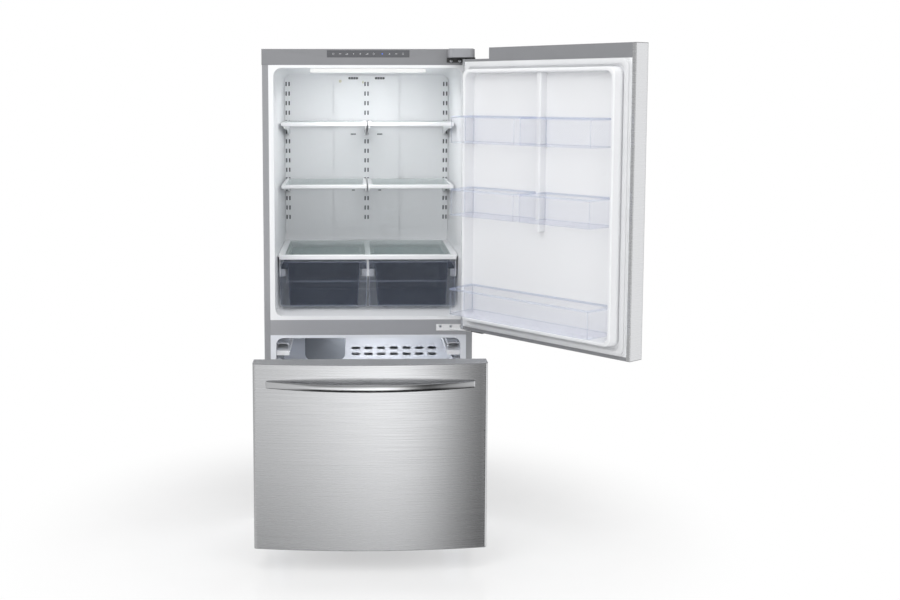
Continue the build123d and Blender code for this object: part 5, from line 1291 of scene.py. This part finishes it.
# ------------------------------------------------------------------ small fittings
@dataclass
class WallDetails:
    """The shelf rails' slots and the duct's outlets, darkened inside with painted shade, and the two sensor
    covers.
    """

    wall: float = high("ladder_tracks")[1]
    rail_x: float = 321 * MM
    duct: float = 8 * MM
    top: float = high("ladder_tracks")[2]
    bottom: float = low("ladder_tracks")[2]
    pitch: float = 38.8 * MM
    slot: Pair = (6 * MM, 17.5 * MM)
    within: float = 0.2 * MM
    shades: Pair = (2.2 * MM, 1.1 * MM)
    column: float = 6 * MM
    outlets: tuple[Vec, ...] = (
        (1604 * MM, 41 * MM, 10 * MM), (1377 * MM, 22 * MM, 6 * MM), (1148 * MM, 12 * MM, 5 * MM),
    )
    outlet_x: float = 54 * MM
    rim: tuple[Pair, ...] = (
        (0.3 * MM, 3 * MM), (0.1 * MM, -0.8 * MM), (-0.6 * MM, -1.2 * MM),
        (-1.4 * MM, -0.9 * MM), (-1.8 * MM, 0.1 * MM),
    )
    throat: Pair = (3 * MM, 4 * MM)
    vane_half: float = 0.5 * MM
    vanes: Pair = (0.5 * MM, 3 * MM)
    spread_above: float = 20 * MM
    covers: tuple[Pair, ...] = ((-107 * MM, 1592 * MM), (-12 * MM, 1588 * MM))
    cover_radius: float = 6 * MM
    cover_out: float = 3 * MM

    def slots(self) -> None:
        """Painted shade on the floors of the rails' slots: a dark sheet in each for the shade inside it, a row
        every pitch from the top.
        """
        shade = Shell("rail_slot_shades", SLOT_SHADE, Carrier.CABINET)
        count = int((self.top - self.bottom) / self.pitch)
        half = tuple(side / 2 - self.within for side in self.slot)
        for rail, seat in ((-self.rail_x, self.wall), (self.rail_x, self.wall), (0.0, self.wall - self.duct)):
            for side in (-1, 1):
                for row in range(count):
                    z = self.top - self.pitch * (row + 0.5)
                    cell = patch((rail + side * self.column, z), half, 1 * MM, 2).points()
                    shade.loft([upright(cell, seat - out) for out in self.shades])
        shade.build()

    def grilles(self) -> None:
        """Each outlet's throat darkened with painted shade, a dark sheet for the shade inside the duct, with a
        soft rim and upright vanes in it.
        """
        throat_shades = Shell("outlet_throat_shades", SLOT_SHADE, Carrier.CABINET)
        rims = Shell("outlet_rims", MOULDED_WHITE, Carrier.CABINET)
        face = self.wall - self.duct
        for z, long, tall in self.outlets:
            for x in (-self.outlet_x, self.outlet_x):
                ring = patch((x, z), (long / 2, tall / 2), tall / 2 - 0.1 * MM)
                throat = ring.points(self.within)
                throat_shades.loft([upright(throat, face + deep) for deep in self.throat])
                rims.loft([upright(ring.points(inset), face + deep) for inset, deep in self.rim], closed=True)
                spread = long * (long > self.spread_above)  # a short outlet's vanes share its middle
                for vane in np.linspace(-0.25, 0.25, 3) * spread:
                    blade = patch((x + vane, z), (self.vane_half, tall / 2), 0.3 * MM, 2)
                    rims.slab(blade, (face + self.vanes[0], face + self.vanes[1]), 0.15 * MM)
        throat_shades.build()
        rims.build()

    def sensors(self) -> None:
        """Two low round covers on the duct."""
        shell = Shell("sensor_covers", SENSOR_PLASTIC, Carrier.CABINET)
        seat = self.wall - self.duct + self.within
        for centre in self.covers:
            dome(shell, centre, self.cover_radius, (seat, self.cover_out), rings=6)
        shell.build()

    def build(self) -> None:
        """All the rear wall's small forms."""
        self.slots()
        self.grilles()
        self.sensors()


class Mark(Enum):
    """Generic marks on the touch strip."""

    DOT = "dot"
    RING = "ring"
    BAR = "bar"
    STAR = "star"
    STEPS = "steps"


@dataclass
class TouchStrip:
    """The dark strip's row of plain marks and one blue lamp."""

    face: float = low("control_panel")[1]
    z: float = (low("control_panel")[2] + high("control_panel")[2]) / 2
    raise_by: float = 0.06 * MM
    marks: tuple[tuple[float, Mark], ...] = (
        (-124 * MM, Mark.RING), (-100 * MM, Mark.BAR), (-76 * MM, Mark.STEPS), (-52 * MM, Mark.DOT),
        (-28 * MM, Mark.STAR), (-4 * MM, Mark.STEPS), (20 * MM, Mark.RING),
        (76 * MM, Mark.STAR), (100 * MM, Mark.BAR), (124 * MM, Mark.RING),
    )
    circle: Pair = (3.2 * MM, 0.7 * MM)
    dot: Pair = (1.6 * MM, 1.6 * MM)
    bar: Pair = (4 * MM, 0.8 * MM)
    stroke: Pair = (0.35 * MM, 3.4 * MM)
    step: Pair = (2.4 * MM, 1.2 * MM)
    step_wide: float = 1.4 * MM
    lamp: Pair = (2 * MM, 2 * MM)
    lamp_x: float = 50 * MM
    short_of_round: float = 0.1 * MM

    def plate(self, shell: Shell, ring: np.ndarray) -> None:
        """A printed patch inside a ring, a hair proud of the strip."""
        shell.loft([upright(ring, self.face - self.raise_by), upright(ring, self.face)])

    def spot(self, shell: Shell, x: float, half: Pair) -> None:
        """A printed patch with round ends."""
        radius = min(half) - self.short_of_round
        self.plate(shell, patch((x, self.z), half, radius, 5).points())

    def ring(self, shell: Shell, x: float) -> None:
        """A printed circle line."""
        radius, line = self.circle
        turn = np.linspace(0, 2 * np.pi, 32, endpoint=False)
        unit = np.column_stack((np.cos(turn), np.sin(turn)))
        centre = np.array([x, self.z])
        near, far = self.face - self.raise_by, self.face
        loops = ((radius, far), (radius, near), (radius - line, near), (radius - line, far))
        shell.loft([upright(centre + unit * r, y) for r, y in loops], closed=True)

    def star(self, shell: Shell, x: float) -> None:
        """Three crossed strokes."""
        for angle in (0.0, math.pi / 3, 2 * math.pi / 3):
            stroke = patch((0, 0), self.stroke, self.stroke[0] * 0.9, 4).points()
            turn = np.array([[math.cos(angle), -math.sin(angle)], [math.sin(angle), math.cos(angle)]])
            self.plate(shell, stroke @ turn.T + np.array([x, self.z]))

    def steps(self, shell: Shell, x: float) -> None:
        """Four bars, each a step taller than the last."""
        step, rise = self.step
        foot = self.z - 2 * rise
        for i in range(4):
            left = x + (i - 2) * step
            bar = rectangle((left, left + self.step_wide), (foot, foot + (i + 1) * rise), 0.3 * MM, 5)
            self.plate(shell, bar.points())

    def build(self) -> None:
        """The marks and the lamp."""
        shell = Shell("strip_marks", STRIP_MARK, Carrier.CABINET)
        for x, mark in self.marks:
            if mark is Mark.DOT:
                self.spot(shell, x, self.dot)
            elif mark is Mark.RING:
                self.ring(shell, x)
            elif mark is Mark.BAR:
                self.spot(shell, x, self.bar)
            elif mark is Mark.STAR:
                self.star(shell, x)
            else:
                self.steps(shell, x)
        shell.build()
        lamp = Shell("strip_lamp", BLUE_LAMP, Carrier.CABINET)
        self.spot(lamp, self.lamp_x, self.lamp)
        lamp.build()


@dataclass
class Screws:
    """Domed screw heads, each with a black cross of painted shade standing for its crossed recess, on both hinges.
    """

    radius: float = 5.5 * MM
    tall: float = high("hinge_screws")[1] - low("hinge_screws")[1]
    seat: float = high("hinge_screws")[1]
    top_z: float = high("hinge_screws")[2] - radius
    low_z: float = low("hinge_screws")[2] + radius
    top_x: tuple[float, ...] = (296 * MM, 326 * MM)
    low_x: tuple[float, ...] = (262 * MM, 300 * MM, 338 * MM)
    arm: Pair = (2.6 * MM, 0.5 * MM)
    recess: float = 0.6

    def build(self) -> None:
        """Every head, and the black cross of painted shade in it."""
        heads = Shell("screw_heads", ZINC, Carrier.CABINET)
        recess_shades = Shell("screw_recess_shades", BLACK_MOULDING, Carrier.CABINET)
        crown, bottom = self.seat - self.tall, self.seat - self.recess * self.tall
        places = [(x, self.top_z) for x in self.top_x] + [(x, self.low_z) for x in self.low_x]
        for centre in places:
            dome(heads, centre, self.radius, (self.seat, self.tall), rings=7, fullness=0.6)
            for half in (self.arm, self.arm[::-1]):
                # painted shade: a black cross flush with the crown stands for the shade in the recess
                recess_shades.slab(patch(centre, half, 0.4 * MM, 3), (crown, bottom), 0.1 * MM)
        heads.build("hinge_screws")
        recess_shades.build()


SOFT_EDGES: dict[float, tuple[str, ...]] = {
    0.6 * MM: (
        "outer_cabinet", "mullion_rail", "middle_hinge_bracket", "top_hinge_plate", "slide_outer_members",
        "slide_middle_members", "slide_inner_members", "control_panel",
    ),
    0.9 * MM: ("top_front_cap", "fridge_door_caps", "freezer_door_caps", "ice_maker_cover", "door_stop"),
}


def soften_nodes() -> None:
    """Round the edges of the moulded and folded nodes, in widths that suit each."""
    for width, nodes in SOFT_EDGES.items():
        for node in nodes:
            softened(node, width)


# ------------------------------------------------------------------ studio
@dataclass
class Studio:
    """Pale floor, soft lights and the photograph's camera.

    The lamps are given as name, place, target, side and power. The room that metal mirrors is
    given as brightness along x and along z of the direction, each from -1 to 1 taken to 0 to 1;
    the band says how much z counts at each x.
    """

    camera_place: Vec = (-0.0502, -4.8894, 1.5424)
    down: float = 0.1064
    right: float = 0.0188
    shift: Pair = (0.08, -0.08)
    focal_px: float = 1260.0
    frame_wide: float = 900.0
    sensor_mm: float = 36.0
    clear_layers: int = 40
    floor_half: float = 30.0
    floor_middle: Vec = (0.0, -0.5, 0.0)
    floor_fade: Pair = (0.6, 1.35)
    floor_white: float = 0.45
    ambient: float = 0.62
    lamps: tuple[tuple[str, Vec, Vec, float, float], ...] = (
        ("key", (-2.4, -4.2, 3.4), (0.0, 0.0, 0.9), 3.2, 80.0),
        ("fill", (2.8, -4.0, 2.4), (0.2, 0.0, 0.9), 3.0, 40.0),
        ("top", (0.0, -1.0, 4.2), (0.0, -0.2, 0.0), 3.0, 40.0),
        ("fridge_lamp", (0.0, -0.10, 1.600), (0.0, 0.10, 0.9), 0.32, 1.8),
        ("freezer_lamp", (0.0, -0.16, 0.640), (0.0, -0.10, 0.2), 0.25, 1.7),
    )
    room_x: tuple[Pair, ...] = (
        (0.0, 0.45), (0.30, 0.72), (0.38, 0.90), (0.45, 1.12), (0.52, 1.35), (0.57, 1.32),
        (0.61, 1.00), (0.66, 0.40), (0.71, 0.06), (0.75, 0.14), (0.82, 0.42), (0.90, 0.65), (1.0, 1.00),
    )
    room_z: tuple[Pair, ...] = (
        (0.0, 0.10), (0.20, 0.0), (0.322, 0.0), (0.34, 0.50), (0.355, 1.00), (0.38, 1.65),
        (0.41, 1.40), (0.45, 0.85), (0.55, 0.66), (0.66, 0.50), (0.75, 0.30), (1.0, 0.30),
    )
    room_band: tuple[Pair, ...] = ((0.22, 0.0), (0.30, 1.0), (0.74, 1.0), (0.84, 0.0))

    def build(self) -> None:
        """Make the camera, the floor, the lamps and the world."""
        bpy.context.scene.cycles.transparent_max_bounces = self.clear_layers
        self.camera()
        self.floor()
        self.world()
        for lamp in self.lamps:
            self.lamp(*lamp)

    def camera(self) -> None:
        """Camera with the photograph's lens, looking slightly down, with a small shift."""
        data = bpy.data.cameras.new("photo_camera")
        data.sensor_width = self.sensor_mm
        data.lens = self.focal_px / self.frame_wide * self.sensor_mm
        data.shift_x, data.shift_y = self.shift
        camera = bpy.data.objects.new("photo_camera", data)
        camera.location = self.camera_place
        camera.rotation_euler = (math.pi / 2 - self.down, 0.0, -self.right)
        bpy.context.scene.collection.objects.link(camera)
        bpy.context.scene.camera = camera

    def floor(self) -> None:
        """White floor that keeps the object's shadow; the camera alone sees it lifted to white."""
        half = self.floor_half
        corners = [(-half, -half, 0), (half, -half, 0), (half, half, 0), (-half, half, 0)]
        mesh = bpy.data.meshes.new("studio_floor")
        mesh.from_pydata(corners, [], [(0, 1, 2, 3)])
        plane = bpy.data.objects.new("studio_floor", mesh)
        bpy.context.scene.collection.objects.link(plane)
        material = bpy.data.materials.new("studio_floor")
        tree = Tree(material)
        cloud = tree.noise(tree.object_coordinates(), 3.0, 2.0)
        shade = tree.shades(cloud, srgb(250, 250, 250), srgb(255, 255, 255))
        shader = tree.principled({"Base Color": shade}, Roughness=0.12, IOR=1.6)
        place = tree.add("ShaderNodeTexCoord")
        middle = tree.add("ShaderNodeVectorMath", operation="SUBTRACT")
        middle.inputs[1].default_value = self.floor_middle
        tree.link(place.outputs["Object"], middle.inputs[0])
        far = tree.add("ShaderNodeVectorMath", operation="LENGTH")
        tree.link(middle.outputs["Vector"], far.inputs[0])
        lift = tree.map_range(far.outputs["Value"], (self.floor_white, 1.0), self.floor_fade, "SMOOTHSTEP")
        blank = tree.add("ShaderNodeEmission", Strength=1.0)
        spread = tree.mix_shaders(lift, shader, blank.outputs["Emission"])
        path = tree.add("ShaderNodeLightPath")
        tree.surface(tree.mix_shaders(path.outputs["Is Camera Ray"], shader, spread))
        mesh.materials.append(material)
        plane.visible_glossy = False

    @staticmethod
    def along(tree: Tree, value: Socket, stops: Sequence[Pair]) -> Socket:
        """Brightness along one part of the direction, -1 to 1 taken to 0 to 1.

        Args:
            tree: The world's nodes.
            value: The direction's part.
            stops: Place and brightness of each stop.

        Returns:
            The ramp's colour socket.
        """
        share = tree.map_range(value, (0.0, 1.0), (-1.0, 1.0))
        return tree.ramp(share, [(place, (bright,) * 3) for place, bright in stops])

    def world(self) -> None:
        """White for the camera and through glass; a soft grey room, darker to the right, on metal."""
        world = bpy.data.worlds.new("studio")
        bpy.context.scene.world = world
        tree = Tree(world, "ShaderNodeOutputWorld")
        place = tree.add("ShaderNodeTexCoord")
        split = tree.add("ShaderNodeSeparateXYZ")
        tree.link(place.outputs["Generated"], split.inputs["Vector"])
        product = tree.add("ShaderNodeMix", data_type="RGBA", blend_type="MULTIPLY")
        feeds = (("X", self.room_x, "A"), ("Z", self.room_z, "B"), ("X", self.room_band, "Factor"))
        for part, stops, target in feeds:
            tree.link(self.along(tree, split.outputs[part], stops), product.inputs[target])
        room, ambient, white = (
            tree.add("ShaderNodeBackground", Color=(*WHITE, 1.0), Strength=strength)
            for strength in (1.0, self.ambient, 1.0)
        )
        tree.link(product.outputs["Result"], room.inputs["Color"])
        path = tree.add("ShaderNodeLightPath")
        others = tree.mix_shaders(
            path.outputs["Is Glossy Ray"], ambient.outputs["Background"], room.outputs["Background"]
        )
        seen = tree.add("ShaderNodeMath", operation="MAXIMUM")
        tree.link(path.outputs["Is Camera Ray"], seen.inputs[0])
        tree.link(path.outputs["Is Transmission Ray"], seen.inputs[1])
        tree.surface(tree.mix_shaders(seen.outputs["Value"], others, white.outputs["Background"]))

    def lamp(self, name: str, place: Vec, target: Vec, size: float, watts: float) -> None:
        """A square soft lamp aimed at a point.

        Args:
            name: The lamp's name.
            place: Where it hangs.
            target: What it points at.
            size: Its side in metres.
            watts: Its power.
        """
        data = bpy.data.lights.new(name, "AREA")
        data.size = size
        data.energy = watts
        lamp = bpy.data.objects.new(name, data)
        lamp.location = place
        towards = np.array(target) - np.array(place)
        tilt = math.atan2(math.hypot(towards[0], towards[1]), -towards[2])
        lamp.rotation_euler = (tilt, 0.0, math.atan2(towards[1], towards[0]) - math.pi / 2)
        lamp.visible_glossy = False
        lamp.visible_camera = False
        bpy.context.scene.collection.objects.link(lamp)


# ------------------------------------------------------------------ carried-over nodes
def dress_nodes() -> None:
    """Give every CAD node the finish of its slot, or its own one."""
    for name, item in frame["nodes"].items():
        item.data.materials.clear()
        item.data.materials.append(finish_of(name).material())


def main() -> None:
    """Build the whole scene."""
    logging.basicConfig(level=logging.INFO, format="%(message)s")
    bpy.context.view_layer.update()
    bpy.context.scene.view_settings.view_transform = "Standard"
    Studio().build()
    dress_nodes()
    soften_nodes()
    fronts = BowedFronts()
    doors = (fronts, Handles(fronts), Gaskets(), DoorBins())
    for assembly in (*doors, Crispers(), WallDetails(), TouchStrip(), Screws()):
        assembly.build()


if __name__ == "__main__":
    main()
